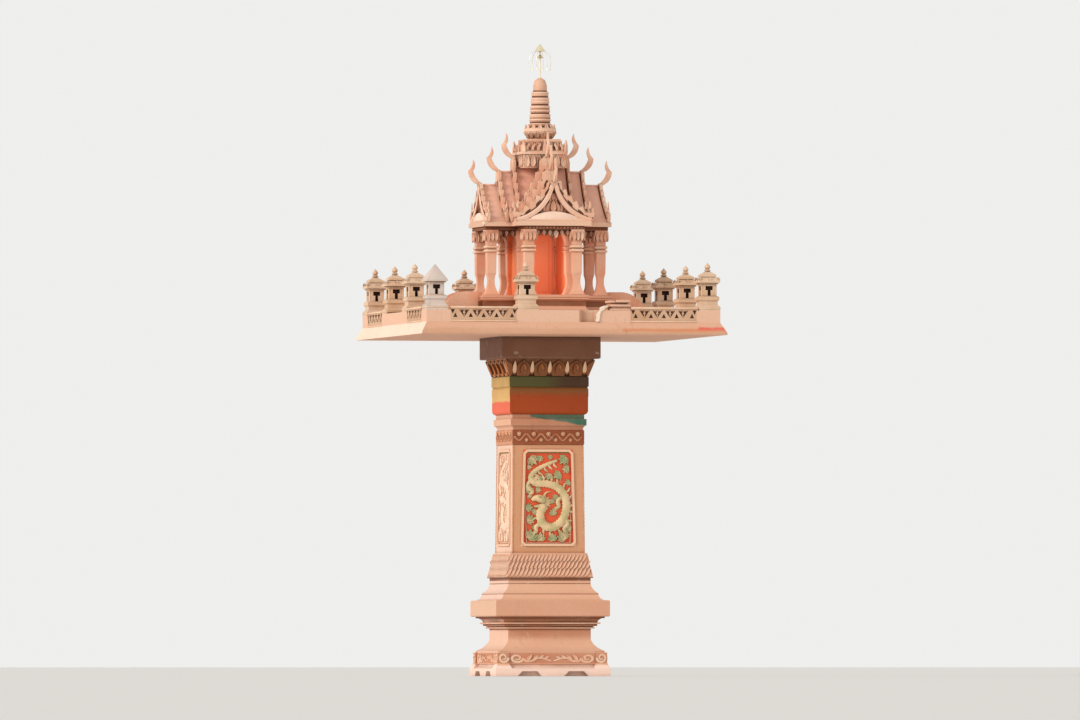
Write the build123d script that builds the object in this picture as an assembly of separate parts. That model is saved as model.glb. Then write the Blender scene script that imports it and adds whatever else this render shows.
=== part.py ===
from build123d import *
import os
from math import atan2, cos, degrees, hypot, sin

# Spirit house of painted cement on a square pillar: foot, shaft, lotus capital, square tray,
# a small open shrine with a cross-shaped three-tier roof, and a ringed spire with an umbrella.
# Millimetres, Z up, origin at the centre of the foot on the ground, front towards -Y.

SIDES = {"front": 0, "right": 90, "back": 180, "left": 270}

# Bows of moulded stretches, as a share of the stretch's length: hollow ones are negative
cove = -0.18
soft_cove = -0.11
faint_cove = -0.04
roll = 0.18
soft_roll = 0.12

# How far a cut or a seated piece reaches past the face that it meets
overlap = 1.0

# Pedestal, course by course from the ground: half sides and heights
foot_half = 242.5
foot_pad_height = 30.0
foot_cut_height = 20.0
foot_cut_depth = 24.0
foot_pad_width = 92.0
foot_step_height = 19.0
apron_half = 225.0
apron_height = 49.0
apron_shadow = 6.0
bracket_width = 70.0
bracket_step = 12.0
slope_height = 52.0
neck_half = 174.5
neck_height = 43.0
corbel_height = 52.0
belt_half = 240.5
belt_height = 67.0
belt_edge = 4.0
upper_cyma_half = 225.0
upper_cyma_height = 67.0
upper_cyma_fold = 24.0
groove_half = 174.0
groove_height = 30.0
skirt_bottom_half = 180.5
skirt_lip = 5.0
skirt_height = 98.0

# Shaft and its four panels
shaft_bottom_half = 152.5
shaft_top_half = 148.0
shaft_height = 444.0
panel_foot_gap = 28.0
panel_head_gap = 18.0
panel_bottom_width = 233.0
panel_top_width = 210.0
panel_corner = 14.0
panel_depth = 7.0
panel_bead = 10.0
panel_bead_height = 5.0

# Capital, course by course
band_half = 152.0
band_height = 64.0
collar_half = 160.0
collar_height = 62.0
collar_strip = 18.0
cushion_half = 165.5
cushion_height = 113.0
cushion_shoulder = 40.0
fillet_half = 167.5
fillet_height = 46.0
petal_root_half = 162.0
petal_tip_half = 196.0
petals_height = 71.0
petal_pitch = 74.0
petals_per_side = 4
petal_thickness = 9.0
petal_seat = 4.0
petal_gap = 8.0
capital_slab_half = 208.5
capital_slab_height = 90.0

# Tray, deck and rim
tray_bottom_half = 640.5
tray_slope = 24.5
tray_height = 50.0
deck_height = 49.0
deck_setback = 46.0
corner_block = 100.0
entrance_half = 240.0
damage_start = 24.0
damage_length = 82.0
damage_depth = 18.0
fence_thickness = 14.0
fence_height = 59.0
fence_rail = 9.0
fence_pitch = 54.0
fence_bar = 9.0
fence_small_triangle = 18.0

# Small pavilions round the rim
pavilion_offset = 192.0
pavilion_base_half = 44.0
pavilion_base_height = 57.0
pavilion_body_half = 31.0
pavilion_body_height = 58.0
niche_width = 30.0
niche_stem = 13.0
niche_height = 40.0
niche_head = 17.0
niche_depth = 14.0
niche_sill = 5.0
pavilion_eave_half = 44.0
pavilion_eave_height = 8.0
pavilion_roof_height = 42.0
pavilion_bud_height = 20.0
pavilion_bud_half = 8.0
tip_half = 1.5
broken_base_height = 40.0
broken_corner = 60.0
broken_reach = 52.0
broken_tilt = (0, 35, 20)

# Shrine plan: a cross with two columns at the end of each arm
core_offset = 101.0
column_offset = 231.0
base_reach = 42.0
base_foot_reach = 48.0
base_recess_reach = 32.0
base_height = 72.0
base_foot_height = 16.0
base_recess_height = 24.0
base_crown_height = 23.0
post_height = 269.0
post_flare_height = 92.0
column_foot_half = 29.0
column_waist_half = 18.5
column_neck_half = 19.5
ring_half = 24.0
ring_height = 9.0
ring_gap = 7.0
rings_under_lintel = 90.0
column_head_half = 27.0
column_head_height = 48.0
architrave_height = 15.0
eave_height = 19.0
eave_reach = 267.0
eave_half = 156.0
wall_thickness = 12.0
valance_drop = 26.0
valance_pendant = 44.0
valance_thickness = 8.0
valance_lappets = 7

# Stairs
stair_half = 75.0
stair_length = 148.0
stair_treads = 3
stringer_thickness = 14.0
stringer_rise = 17.0
stringer_flat = 34.0
stringer_end = 14.0
stringer_bow = 24.0

# Cross-shaped roof in three telescoping tiers, lowest first: ridges above the eave, reaches
roof_half = 153.0
roof_lip = 9.0
ridge_rises = (156.0, 211.0, 266.0)
tier_reaches = (260.0, 182.0, 120.0)
tier_bows = (-0.047, -0.063, -0.074)
board_thickness = 12.0
board_raise = 9.0
board_width = 31.0
arch_rise = 145.0
arch_half = 142.0
arch_bow = -0.147
arch_depth = 9.0
gable_base_height = 31.0
gable_base_reach = 4.0
tooth_height = 15.0
tooth_lean = 0.8
teeth_per_slope = 5
tail_width = 22.0
tail_height = 36.0
tail_lean = 10.0
horn_thickness = 9.0
horn_height = 104.0
horn_reach = 44.0
horn_root = 22.0
horn_width = 20.0
horn_bend_height = 57.0
horn_bows = (-12.5, 6.0, -8.0, 8.0)

# Spire
spire_seat = 41.0
spire_half = 92.0
spire_height = 67.0
spire_ledge_height = 11.0
spire_stage_half = 72.0
spire_stage_height = 53.0
spike_height = 50.0
spike_width = 20.0
spike_thickness = 7.0
bell_rim_radius = 66.5
bell_neck_radius = 47.0
bell_height = 50.0
bell_rim_height = 34.0
ring_rises = (17.0, 38.0, 35.0, 33.0, 24.0)
rings_bottom_radius = 44.0
rings_top_radius = 33.0
ring_groove = 4.0
ring_slope = 5.0
bud_height = 58.0
rod_radius = 3.5
rod_height = 82.0
umbrella_small_radius = 15.0
umbrella_gap = 28.0
umbrella_radius = 23.0
umbrella_height = 30.0

# Levels, each course on the one below
apron_bottom = foot_pad_height + foot_step_height
apron_top = apron_bottom + apron_height
neck_bottom = apron_top + slope_height
corbel_bottom = neck_bottom + neck_height
belt_bottom = corbel_bottom + corbel_height
belt_top = belt_bottom + belt_height
groove_bottom = belt_top + upper_cyma_height
skirt_bottom = groove_bottom + groove_height
shaft_bottom = skirt_bottom + skirt_height
shaft_top = shaft_bottom + shaft_height
panel_bottom = shaft_bottom + panel_foot_gap
panel_top = shaft_top - panel_head_gap
collar_bottom = shaft_top + band_height
cushion_bottom = collar_bottom + collar_height
fillet_bottom = cushion_bottom + cushion_height
petals_bottom = fillet_bottom + fillet_height
capital_slab_bottom = petals_bottom + petals_height
tray_bottom = capital_slab_bottom + capital_slab_height
deck_bottom = tray_bottom + tray_height
deck_top = deck_bottom + deck_height
floor_top = deck_top + base_height
architrave_bottom = floor_top + post_height
ring_bottom = architrave_bottom - rings_under_lintel
eave_bottom = architrave_bottom + architrave_height
eave_top = eave_bottom + eave_height
tier_ridges = tuple(eave_top + rise for rise in ridge_rises)
spire_bottom = tier_ridges[-1] - spire_seat
spire_ledge = spire_bottom + spire_height
spire_stage_top = spire_ledge + spire_stage_height
bell_top = spire_stage_top + bell_height
rings_top = bell_top + sum(ring_rises)
bud_top = rings_top + bud_height
umbrella_small_bottom = bud_top + rod_height
umbrella_bottom = umbrella_small_bottom + umbrella_gap
umbrella_top = umbrella_bottom + umbrella_height
rim_half = tray_bottom_half - tray_slope

os.makedirs("parts", exist_ok=True)


def save(name, *solids):
    """Write one node, made of one or more solids that don't touch."""
    flat = [solid for shape in solids for solid in shape.solids()]
    export_step(flat[0] if len(flat) == 1 else Compound(children=flat), f"parts/{name}.step")


def turned(shape, side):
    """The shape made for the front, turned to another side."""
    return Rot(0, 0, SIDES[side]) * shape


def half_outline(steps):
    """Lines and arcs through steps of (half width, height, bow of the stretch that follows)."""
    edges = []
    for (x0, z0, bow), (x1, z1, _) in zip(steps, steps[1:]):
        start, end = (x0, z0), (x1, z1)
        sag = -bow * hypot(x1 - x0, z1 - z0)
        edges.append(SagittaArc(start, end, sag) if bow else Line(start, end))
    return edges


def silhouette(steps):
    """Closed face, the same left and right of the axis, from its right-hand steps."""
    right = Curve() + half_outline(steps)
    left = mirror(right, about=Plane.YZ)
    (low, bottom, _), (high, top, _) = steps[0], steps[-1]
    outline = right + left + Line((-low, bottom), (low, bottom))
    if high > 0:
        outline += Line((-high, top), (high, top))
    return make_face(outline)


def prism(face, reach):
    """A face drawn in X and Z, drawn out by reach both ways along Y."""
    return extrude(Plane.XZ * face, amount=reach, both=True)


def moulding(steps, half_x=0.0, half_y=0.0):
    """Mitred block whose steps are measured out from a rectangle of the two half sizes."""
    widest = max(step[0] for step in steps) + 1.0
    along_x = silhouette([(half_x + out, z, bow) for out, z, bow in steps])
    along_y = silhouette([(half_y + out, z, bow) for out, z, bow in steps])
    return prism(along_x, half_y + widest) & (Rot(0, 0, 90) * prism(along_y, half_x + widest))


def front_wedge():
    """All that lies nearer to the front than to any other side, to mitre pieces at 45 degrees."""
    reach = 2 * tray_bottom_half
    return extrude(Polygon((0, 0), (-reach, -reach), (reach, -reach), align=None), amount=umbrella_top)


def turned_round(steps):
    """Round piece from its right-hand steps."""
    (low, bottom, _), (high, top, _) = steps[0], steps[-1]
    outline = Curve() + half_outline(steps)
    outline += Line((0, bottom), (low, bottom))
    if high > 0:
        outline += Line((0, top), (high, top))
    outline += Line((0, bottom), (0, top))
    return revolve(Plane.XZ * make_face(outline), Axis.Z)


def foot():
    """Foot slab with arched cut-outs between its feet, corner brackets and an apron."""
    body = moulding([
        (foot_half, 0, 0),
        (foot_half, foot_pad_height, 0),
        (apron_half - apron_shadow, foot_pad_height + foot_step_height / 2, 0),
        (apron_half - apron_shadow, apron_bottom, 0),
        (apron_half, apron_bottom, 0),
        (apron_half, apron_top, 0),
    ])
    inset = bracket_width / 2
    bracket = moulding([
        (inset, 0, 0),
        (inset, foot_pad_height, 0),
        (inset - bracket_step, apron_bottom + apron_shadow, 0),
        (inset - bracket_step, apron_top, 0),
    ])
    for sign_x in (-1, 1):
        for sign_y in (-1, 1):
            body += Pos(sign_x * (foot_half - inset), sign_y * (foot_half - inset), 0) * bracket
    cut_length = (2 * foot_half - 3 * foot_pad_width) / 2
    cut_offset = (foot_pad_width + cut_length) / 2
    half = cut_length / 2
    crown = half - foot_cut_height
    corners = [(-half, -overlap), (half, -overlap), (crown, foot_cut_height), (-crown, foot_cut_height)]
    arch = prism(Polygon(*corners, align=None), foot_cut_depth)
    for side in SIDES:
        for sign in (-1, 1):
            body -= turned(Pos(sign * cut_offset, -foot_half, 0) * arch, side)
    return body


def pedestal_neck():
    """Sloping course and plain neck above the apron, then stepped coves that widen again."""
    step = (belt_half - neck_half) / 3
    rise = corbel_height / 4
    foot = apron_half - apron_shadow / 2
    return moulding([
        (foot, apron_top, 0),
        (foot, apron_top + apron_shadow, soft_cove),
        (neck_half, neck_bottom, 0),
        (neck_half, corbel_bottom, cove),
        (neck_half + step, corbel_bottom + rise, 0),
        (neck_half + step, corbel_bottom + 2 * rise, cove),
        (neck_half + 2 * step, belt_bottom - rise / 2, 0),
        (neck_half + 2 * step + belt_edge, belt_bottom - rise / 2, 0),
        (neck_half + 2 * step + belt_edge, belt_bottom, 0),
    ])


def belt_slab():
    """Widest slab of the pedestal, with eased edges."""
    return moulding([
        (belt_half - belt_edge, belt_bottom, 0),
        (belt_half, belt_bottom + belt_edge, 0),
        (belt_half, belt_top - belt_edge, 0),
        (belt_half - belt_edge, belt_top, 0),
    ])


def upper_cyma():
    """Two hollow slopes, a groove and a lip under the carved skirt."""
    lip = skirt_bottom_half + skirt_lip / 2
    fold = upper_cyma_half - upper_cyma_fold
    return moulding([
        (upper_cyma_half, belt_top, cove),
        (fold, belt_top + upper_cyma_fold, 0),
        (fold, belt_top + upper_cyma_fold + skirt_lip, soft_cove),
        (groove_half, groove_bottom, 0),
        (groove_half, skirt_bottom - skirt_lip, 0),
        (lip, skirt_bottom - skirt_lip, 0),
        (lip, skirt_bottom, 0),
    ])


def carved_skirt():
    """Tapered course below the shaft; its leaves are carved later."""
    crown = shaft_bottom_half + 2 * skirt_lip
    return moulding([
        (skirt_bottom_half, skirt_bottom, faint_cove),
        (crown, shaft_bottom - skirt_lip, 0),
        (crown, shaft_bottom, 0),
    ])


def panel_plane():
    """Plane on the front face of the tapered shaft, at the middle of the panel."""
    lean = atan2(shaft_bottom_half - shaft_top_half, shaft_height)
    middle = (panel_bottom + panel_top) / 2
    share = (middle - shaft_bottom) / shaft_height
    half = shaft_bottom_half + (shaft_top_half - shaft_bottom_half) * share
    return Plane(origin=(0, -half, middle), x_dir=(1, 0, 0), z_dir=(0, -cos(lean), sin(lean)))


def panel_outline(inset):
    """Upright face, a little narrower at the top."""
    half_height = (panel_top - panel_bottom) / 2 - inset
    low = panel_bottom_width / 2 - inset
    high = panel_top_width / 2 - inset
    corners = [(-low, -half_height), (low, -half_height), (high, half_height), (-high, half_height)]
    return Polygon(*corners, align=None)


def panel_bead_ring():
    """Bead along the panel's edge, with its corners cut off outside and inside."""
    outer = chamfer(panel_outline(0).vertices(), panel_corner)
    inner = chamfer(panel_outline(panel_bead).vertices(), panel_corner - panel_bead / 2)
    return outer - inner


def panel():
    """Panel let into the front of the shaft: a sunk ground inside a raised bead."""
    face = panel_plane()
    ground = extrude(face * panel_outline(0), amount=-panel_depth)
    ground -= extrude(face * panel_outline(panel_bead), amount=-panel_depth / 2)
    return ground + extrude(face * panel_bead_ring(), amount=panel_bead_height)


def shaft():
    """Tapered pillar with four pockets for the panels."""
    body = moulding([
        (shaft_bottom_half, shaft_bottom, 0),
        (shaft_top_half, shaft_top, 0),
    ])
    pocket = extrude(panel_plane() * panel_outline(0), amount=-panel_depth)
    pocket += extrude(panel_plane() * panel_outline(0), amount=panel_depth)
    for side in SIDES:
        body -= turned(pocket, side)
    return body


def bead_band():
    """Band between the shaft and the collar."""
    return moulding([
        (shaft_top_half, shaft_top, 0),
        (band_half, shaft_top + belt_edge, 0),
        (band_half, collar_bottom - belt_edge, 0),
        (shaft_top_half, collar_bottom, 0),
    ])


def collar():
    """Cap moulding of the shaft: a cove, a plain roll and a narrow strip."""
    return moulding([
        (shaft_top_half, collar_bottom, cove),
        (collar_half, collar_bottom + collar_strip, 0),
        (collar_half, cushion_bottom - collar_strip, 0),
        (band_half, cushion_bottom - collar_strip, 0),
        (band_half, cushion_bottom, 0),
    ])


def cushion():
    """Swelling cushion of the capital."""
    return moulding([
        (band_half, cushion_bottom, roll),
        (cushion_half, cushion_bottom + collar_strip, 0),
        (cushion_half, fillet_bottom - cushion_shoulder, soft_roll),
        (petal_root_half, fillet_bottom, 0),
    ])


def capital_fillet():
    """Dark fillet between the cushion and the petals."""
    return moulding([
        (fillet_half - belt_edge, fillet_bottom, 0),
        (fillet_half, fillet_bottom + belt_edge, 0),
        (fillet_half, petals_bottom - belt_edge, 0),
        (fillet_half - belt_edge, petals_bottom, 0),
    ])


def petal(width):
    """One standing lotus petal in X and Z, root at the origin."""
    half = width / 2
    right = [(half * 0.7, 0), (half, petals_height * 0.4), (half * 0.7, petals_height * 0.75)]
    left = [(-x, z) for x, z in reversed(right)]
    return Polygon(*right, (0, petals_height), *left, align=None)


def petals():
    """Flared course with a row of lotus petals on each side that fold round the corners."""
    lean = degrees(atan2(petal_tip_half - petal_root_half - petal_thickness, petals_height))
    body = moulding([
        (petal_root_half - petal_seat, petals_bottom, 0),
        (petal_tip_half - petal_thickness, capital_slab_bottom, 0),
    ])
    blade = extrude(Plane.XZ * petal(petal_pitch - petal_gap), amount=petal_thickness)
    first = -petal_pitch * (petals_per_side + 1) / 2
    row = [Pos(first + n * petal_pitch, 0, 0) * blade for n in range(petals_per_side + 2)]
    seat = Pos(0, petal_seat - petal_root_half, petals_bottom)
    reach = 4 * petal_tip_half
    above = Pos(0, 0, petals_bottom + petals_height / 2) * Box(reach, reach, petals_height)
    for side in SIDES:
        for leaf in row:
            body += turned((seat * Rot(lean, 0, 0) * leaf) & above & front_wedge(), side)
    return body


def capital_slab():
    """Top slab of the capital, which carries the tray."""
    return moulding([
        (capital_slab_half - belt_edge, capital_slab_bottom, 0),
        (capital_slab_half, capital_slab_bottom + belt_edge, 0),
        (capital_slab_half, tray_bottom, 0),
    ])


def tray():
    """Square tray slab with an inclined edge."""
    return moulding([
        (tray_bottom_half, tray_bottom, 0),
        (tray_bottom_half, tray_bottom + 2 * belt_edge, 0),
        (rim_half, deck_bottom, 0),
    ])


def deck():
    """Raised deck: set back behind the fences, full at corners and entrances, one edge broken."""
    plan = Rectangle(2 * (rim_half - deck_setback), 2 * (rim_half - deck_setback))
    plan += Rectangle(2 * entrance_half, 2 * rim_half)
    plan += Rectangle(2 * rim_half, 2 * entrance_half)
    centre = rim_half - corner_block / 2
    for sign_x in (-1, 1):
        for sign_y in (-1, 1):
            plan += Pos(sign_x * centre, sign_y * centre) * Rectangle(corner_block, corner_block)
    end = damage_start + damage_length
    outside = -rim_half - overlap
    deep = (damage_start + damage_depth, damage_depth - rim_half)
    shallow = (end - damage_depth, damage_depth * 0.7 - rim_half)
    plan -= Polygon((damage_start, outside), deep, shallow, (end, outside), align=None)
    return Pos(0, 0, deck_bottom) * extrude(plan, amount=deck_height)


def fence(sign):
    """Pierced front fence on one half of the rim: inverted triangles, small ones between."""
    start = entrance_half
    length = rim_half - corner_block - start
    plate = Pos(length / 2, fence_height / 2) * Rectangle(length, fence_height)
    hole_height = fence_height - 3 * fence_rail
    count = int((length - fence_bar) // fence_pitch)
    margin = (length - count * fence_pitch) / 2
    foot_z = 2 * fence_rail
    top = foot_z + hole_height
    half = (fence_pitch - fence_bar) / 2
    small = fence_small_triangle / 2
    for n in range(count):
        centre = margin + (n + 0.5) * fence_pitch
        plate -= Polygon((centre - half, top), (centre + half, top), (centre, foot_z), align=None)
        if n:
            joint = margin + n * fence_pitch
            peak = foot_z + fence_small_triangle
            plate -= Polygon((joint - small, foot_z), (joint + small, foot_z), (joint, peak), align=None)
    panel_solid = extrude(Plane.XZ * plate, amount=fence_thickness)
    placed = Pos(start, -rim_half + fence_thickness, deck_bottom) * panel_solid
    return placed if sign > 0 else mirror(placed, about=Plane.YZ)


def plinth_steps(height):
    """Moulded plinth of a small pavilion."""
    base = pavilion_base_half
    return [
        (base, 0, 0),
        (base, height * 0.3, 0),
        (base * 0.8, height * 0.45, 0),
        (base * 0.8, height * 0.68, 0),
        (base * 0.93, height * 0.8, 0),
        (base * 0.93, height, 0),
    ]


def pavilion_body_steps():
    """Plinth and square body, up to the underside of the eave."""
    bottom = pavilion_base_height
    return plinth_steps(bottom) + [
        (pavilion_body_half, bottom, 0),
        (pavilion_body_half, bottom + pavilion_body_height, 0),
    ]


def cut_niches(body):
    """The pavilion with a T-shaped niche in each side of its body."""
    stem = niche_stem / 2
    head = niche_width / 2
    shoulder = niche_height - niche_head
    corners = [(-stem, 0), (stem, 0), (stem, shoulder), (head, shoulder), (head, niche_height)]
    left = [(-x, z) for x, z in reversed(corners[2:])]
    cut = prism(Polygon(*corners, *left, align=None), niche_depth)
    for side in SIDES:
        body -= turned(Pos(0, -pavilion_body_half, pavilion_base_height + niche_sill) * cut, side)
    return body


def stepped_pavilion():
    """Whole small pavilion: plinth, body, two roof steps and a bud."""
    bottom = pavilion_base_height + pavilion_body_height
    eave = pavilion_eave_half
    top = bottom + pavilion_eave_height
    upper = eave * 0.7
    step = pavilion_roof_height / 5
    bud_bottom = top + pavilion_roof_height
    bud = pavilion_bud_half
    body = moulding(pavilion_body_steps() + [
        (eave, bottom, 0),
        (eave, top, 0),
        (eave * 0.6, top + 2 * step, 0),
        (upper, top + 2 * step, 0),
        (upper, top + 3 * step, 0),
        (bud * 0.6, bud_bottom, 0),
        (bud, bud_bottom + bud, 0),
        (tip_half, bud_bottom + pavilion_bud_height, 0),
    ])
    return cut_niches(body)


def plain_pavilion():
    """The corner pavilion with a plain pyramid roof."""
    bottom = pavilion_base_height + pavilion_body_height
    eave = pavilion_eave_half
    top = bottom + pavilion_eave_height
    body = moulding(pavilion_body_steps() + [
        (eave, bottom, 0),
        (eave, top, 0),
        (tip_half, top + pavilion_roof_height + pavilion_bud_height, 0),
    ])
    return cut_niches(body)


def rim_place(along):
    """Place on the front rim, at a distance along it from the middle."""
    return Pos(along, -(rim_half - pavilion_base_half), deck_top)


def broken_base():
    """What is left of the missing pavilion: its plinth with one corner broken away."""
    base = moulding(plinth_steps(broken_base_height))
    chip = Rot(*broken_tilt) * Box(broken_corner, broken_corner, broken_base_height)
    return base - Pos(-broken_reach, -broken_reach, 0) * chip


def shrine_base():
    """Cross-shaped moulded base whose top is the shrine floor."""
    recess_top = floor_top - base_crown_height
    steps = [
        (base_foot_reach, deck_top, 0),
        (base_foot_reach, deck_top + base_foot_height / 2, cove),
        (base_recess_reach, recess_top - base_recess_height, 0),
        (base_recess_reach, recess_top, 0),
        (base_reach, recess_top + base_foot_height / 3, 0),
        (base_reach, floor_top, 0),
    ]
    return moulding(steps, core_offset, column_offset) + moulding(steps, column_offset, core_offset)


def post_steps():
    """Waisted square post: flaring foot, two rings and a head, from the floor to the lintel."""
    neck = column_neck_half
    bevel = ring_height / 3
    steps = [
        (column_foot_half, floor_top, 0),
        (column_foot_half, floor_top + bevel, soft_cove),
        (column_waist_half, floor_top + post_flare_height, 0),
    ]
    for bottom in (ring_bottom, ring_bottom + ring_height + ring_gap):
        steps += [
            (neck, bottom, 0),
            (ring_half, bottom + bevel, 0),
            (ring_half, bottom + 2 * bevel, 0),
            (neck, bottom + ring_height, 0),
        ]
    head = architrave_bottom - column_head_height
    return steps + [
        (neck, head, 0),
        (column_head_half, head + column_head_height * 0.6, 0),
        (column_head_half, architrave_bottom, 0),
    ]


def columns():
    """The two columns at the end of the front arm."""
    column = moulding(post_steps())
    return [Pos(sign * core_offset, -column_offset, 0) * column for sign in (-1, 1)]


def core_posts():
    """Posts at the four corners of the sanctum."""
    post = moulding(post_steps())
    return [
        Pos(sign_x * core_offset, sign_y * core_offset, 0) * post
        for sign_x in (-1, 1)
        for sign_y in (-1, 1)
    ]


def sanctum_wall(side, posts):
    """Wall between two core posts, its outer face in line with their middle."""
    wall = Pos(0, -core_offset + wall_thickness / 2, floor_top + post_height / 2) * Box(
        2 * core_offset, wall_thickness, post_height
    )
    placed = turned(wall, side)
    for post in posts:
        placed -= post
    return placed


def valance(width):
    """Board with a row of pointed lappets that hangs under the lintel, the middle one longest."""
    pitch = width / valance_lappets
    top = valance_drop * 0.4
    edge = [(width / 2, 0), (width / 2, -top)]
    for n in range(valance_lappets):
        right = width / 2 - n * pitch
        middle = n == valance_lappets // 2
        edge.append((right - pitch / 2, -valance_pendant if middle else -valance_drop))
        edge.append((right - pitch, -top))
    board = Polygon(*edge, (-width / 2, 0), align=None)
    return extrude(Plane.XZ * board, amount=valance_thickness / 2, both=True)


def valances(posts):
    """Valances of the front arm: one in front and one on each flank."""
    front = Pos(0, -column_offset, architrave_bottom) * valance(2 * core_offset)
    span = column_offset - core_offset
    flank = Pos(0, -(core_offset + span / 2), architrave_bottom) * Rot(0, 0, 90) * valance(span)
    boards = [front, Pos(-core_offset, 0, 0) * flank, Pos(core_offset, 0, 0) * flank]
    for post in posts:
        boards = [board - post for board in boards]
    return boards


def cross_slab(half, reach, bottom, top):
    """Cross-shaped slab: two bars of the half width, each as long as twice the reach."""
    plan = Rectangle(2 * half, 2 * reach) + Rectangle(2 * reach, 2 * half)
    return Pos(0, 0, bottom) * extrude(plan, amount=top - bottom)


def architrave():
    """Lintel and ceiling slab on the columns."""
    half = core_offset + column_head_half
    return cross_slab(half, half + column_offset - core_offset, architrave_bottom, eave_bottom)


def eave_slab():
    """Thin slab that reaches out past the lintel all round, with a sloping base in each gable."""
    body = cross_slab(eave_half, eave_reach, eave_bottom, eave_top)
    wall = tier_reaches[0] - board_thickness - arch_depth
    front = tier_reaches[0] + gable_base_reach
    lip = gable_base_height / 6
    crown = eave_top + gable_base_height
    corners = [(-wall, eave_top), (-front, eave_top), (-front, eave_top + lip), (-wall - arch_depth, crown)]
    profile = Polygon(*corners, (-wall, crown), align=None)
    base = extrude(Plane.YZ * profile, amount=arch_half, both=True) & prism(arch_face(), front + arch_half)
    for side in SIDES:
        body += turned(base, side)
    return body


def stair():
    """One stair, drawn for the front: treads between two stringers with a rounded back."""
    start = column_offset + base_foot_reach
    end = start + stair_length
    rise = base_height / stair_treads
    run = stair_length * 0.8 / stair_treads
    treads = [(-start, deck_top)]
    for n in range(stair_treads):
        height = floor_top - n * rise
        treads.append((-start - n * run, height))
        treads.append((-start - (n + 1) * run, height))
    treads.append((-start - stair_treads * run, deck_top))
    half = stair_half - stringer_thickness
    block = extrude(Plane.YZ * Polygon(*treads, align=None), amount=half, both=True)
    crown = floor_top + stringer_rise
    outline = Curve() + [
        Line((-start, deck_top), (-start, crown)),
        Line((-start, crown), (-start - stringer_flat, crown)),
        SagittaArc((-start - stringer_flat, crown), (-end, deck_top + stringer_end), -stringer_bow),
        Line((-end, deck_top + stringer_end), (-end, deck_top)),
        Line((-end, deck_top), (-start, deck_top)),
    ]
    stringer = extrude(Plane.YZ * make_face(outline), amount=stringer_thickness)
    body = block + Pos(half, 0, 0) * stringer
    return body + Pos(-stair_half, 0, 0) * stringer


def gable_steps(tier):
    """Right-hand steps of a tier's gable."""
    return [
        (roof_half, eave_top, 0),
        (roof_half, eave_top + roof_lip, tier_bows[tier]),
        (0, tier_ridges[tier], 0),
    ]


def arch_face():
    """Pointed opening between the boards of the lowest gable, flaring towards its foot."""
    return silhouette([(arch_half, eave_top, arch_bow), (0, eave_top + arch_rise, 0)])


def roof_cross(tier):
    """One tier of the whole cross, both ways."""
    bar = prism(silhouette(gable_steps(tier)), tier_reaches[tier] - board_thickness)
    return bar + Rot(0, 0, 90) * bar


def roof_tiers():
    """Lower, middle and upper tiers, each cut away where the next one stands."""
    crosses = [roof_cross(tier) for tier in range(len(tier_ridges))]
    upper = crosses[2]
    middle = crosses[1] - upper
    lower = crosses[0] - crosses[1] - upper
    recess = prism(arch_face(), arch_depth)
    for side in SIDES:
        lower -= turned(Pos(0, -(tier_reaches[0] - board_thickness), 0) * recess, side)
    return lower, middle, upper


def slope_point(tier, share, raised):
    """Point over a tier's right-hand slope, at a share of the way from eave to ridge."""
    eave = Vector(roof_half, eave_top + roof_lip)
    ridge = Vector(0, tier_ridges[tier])
    chord = ridge - eave
    normal = Vector(-chord.Y, chord.X).normalized() * -1
    sag = tier_bows[tier] * chord.length * 4 * share * (1 - share)
    point = eave + chord * share + normal * (sag + raised)
    return point.X, point.Y


def flame_edge(tier):
    """Upper edge of a board from its tail to the horn's root, as saw-like flames."""
    foot = roof_half + board_raise
    edge = [(foot, eave_top), (foot + tail_lean, eave_top + tail_height)]
    last = 1 - horn_thickness / roof_half
    share = last / (teeth_per_slope + 1)
    for n in range(1, teeth_per_slope + 1):
        edge.append(slope_point(tier, n * share, board_raise))
        edge.append(slope_point(tier, (n + tooth_lean) * share, board_raise + tooth_height))
    return edge + [(horn_thickness / 2, tier_ridges[tier] + board_raise)]


def board_face(tier):
    """Right half of a flame-edged gable board, its inner edge an arc."""
    edge = flame_edge(tier)
    inner_foot = (roof_half - tail_width, eave_top)
    inner_head = (horn_thickness / 2, tier_ridges[tier] - board_width)
    bow = tier_bows[tier]
    if tier == 0:
        inner_foot = (arch_half, eave_top)
        inner_head = (horn_thickness / 2, eave_top + arch_rise)
        bow = arch_bow
    chord = hypot(inner_foot[0] - inner_head[0], inner_foot[1] - inner_head[1])
    outline = Curve() + [
        Polyline(*edge),
        Line(edge[-1], inner_head),
        SagittaArc(inner_head, inner_foot, bow * chord),
        Line(inner_foot, edge[0]),
    ]
    return make_face(outline)


def gable_boards(roofs):
    """Left and right boards of each tier of the front arm, cut to sit on the roofs and mitred."""
    boards = []
    for tier, board_reach in enumerate(tier_reaches):
        right = extrude(Plane.XZ * board_face(tier), amount=board_thickness)
        placed = Pos(0, -(board_reach - board_thickness), 0) * right
        for roof in roofs:
            placed -= roof
        placed &= front_wedge()
        boards += [placed, mirror(placed, about=Plane.YZ)]
    return boards


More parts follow.
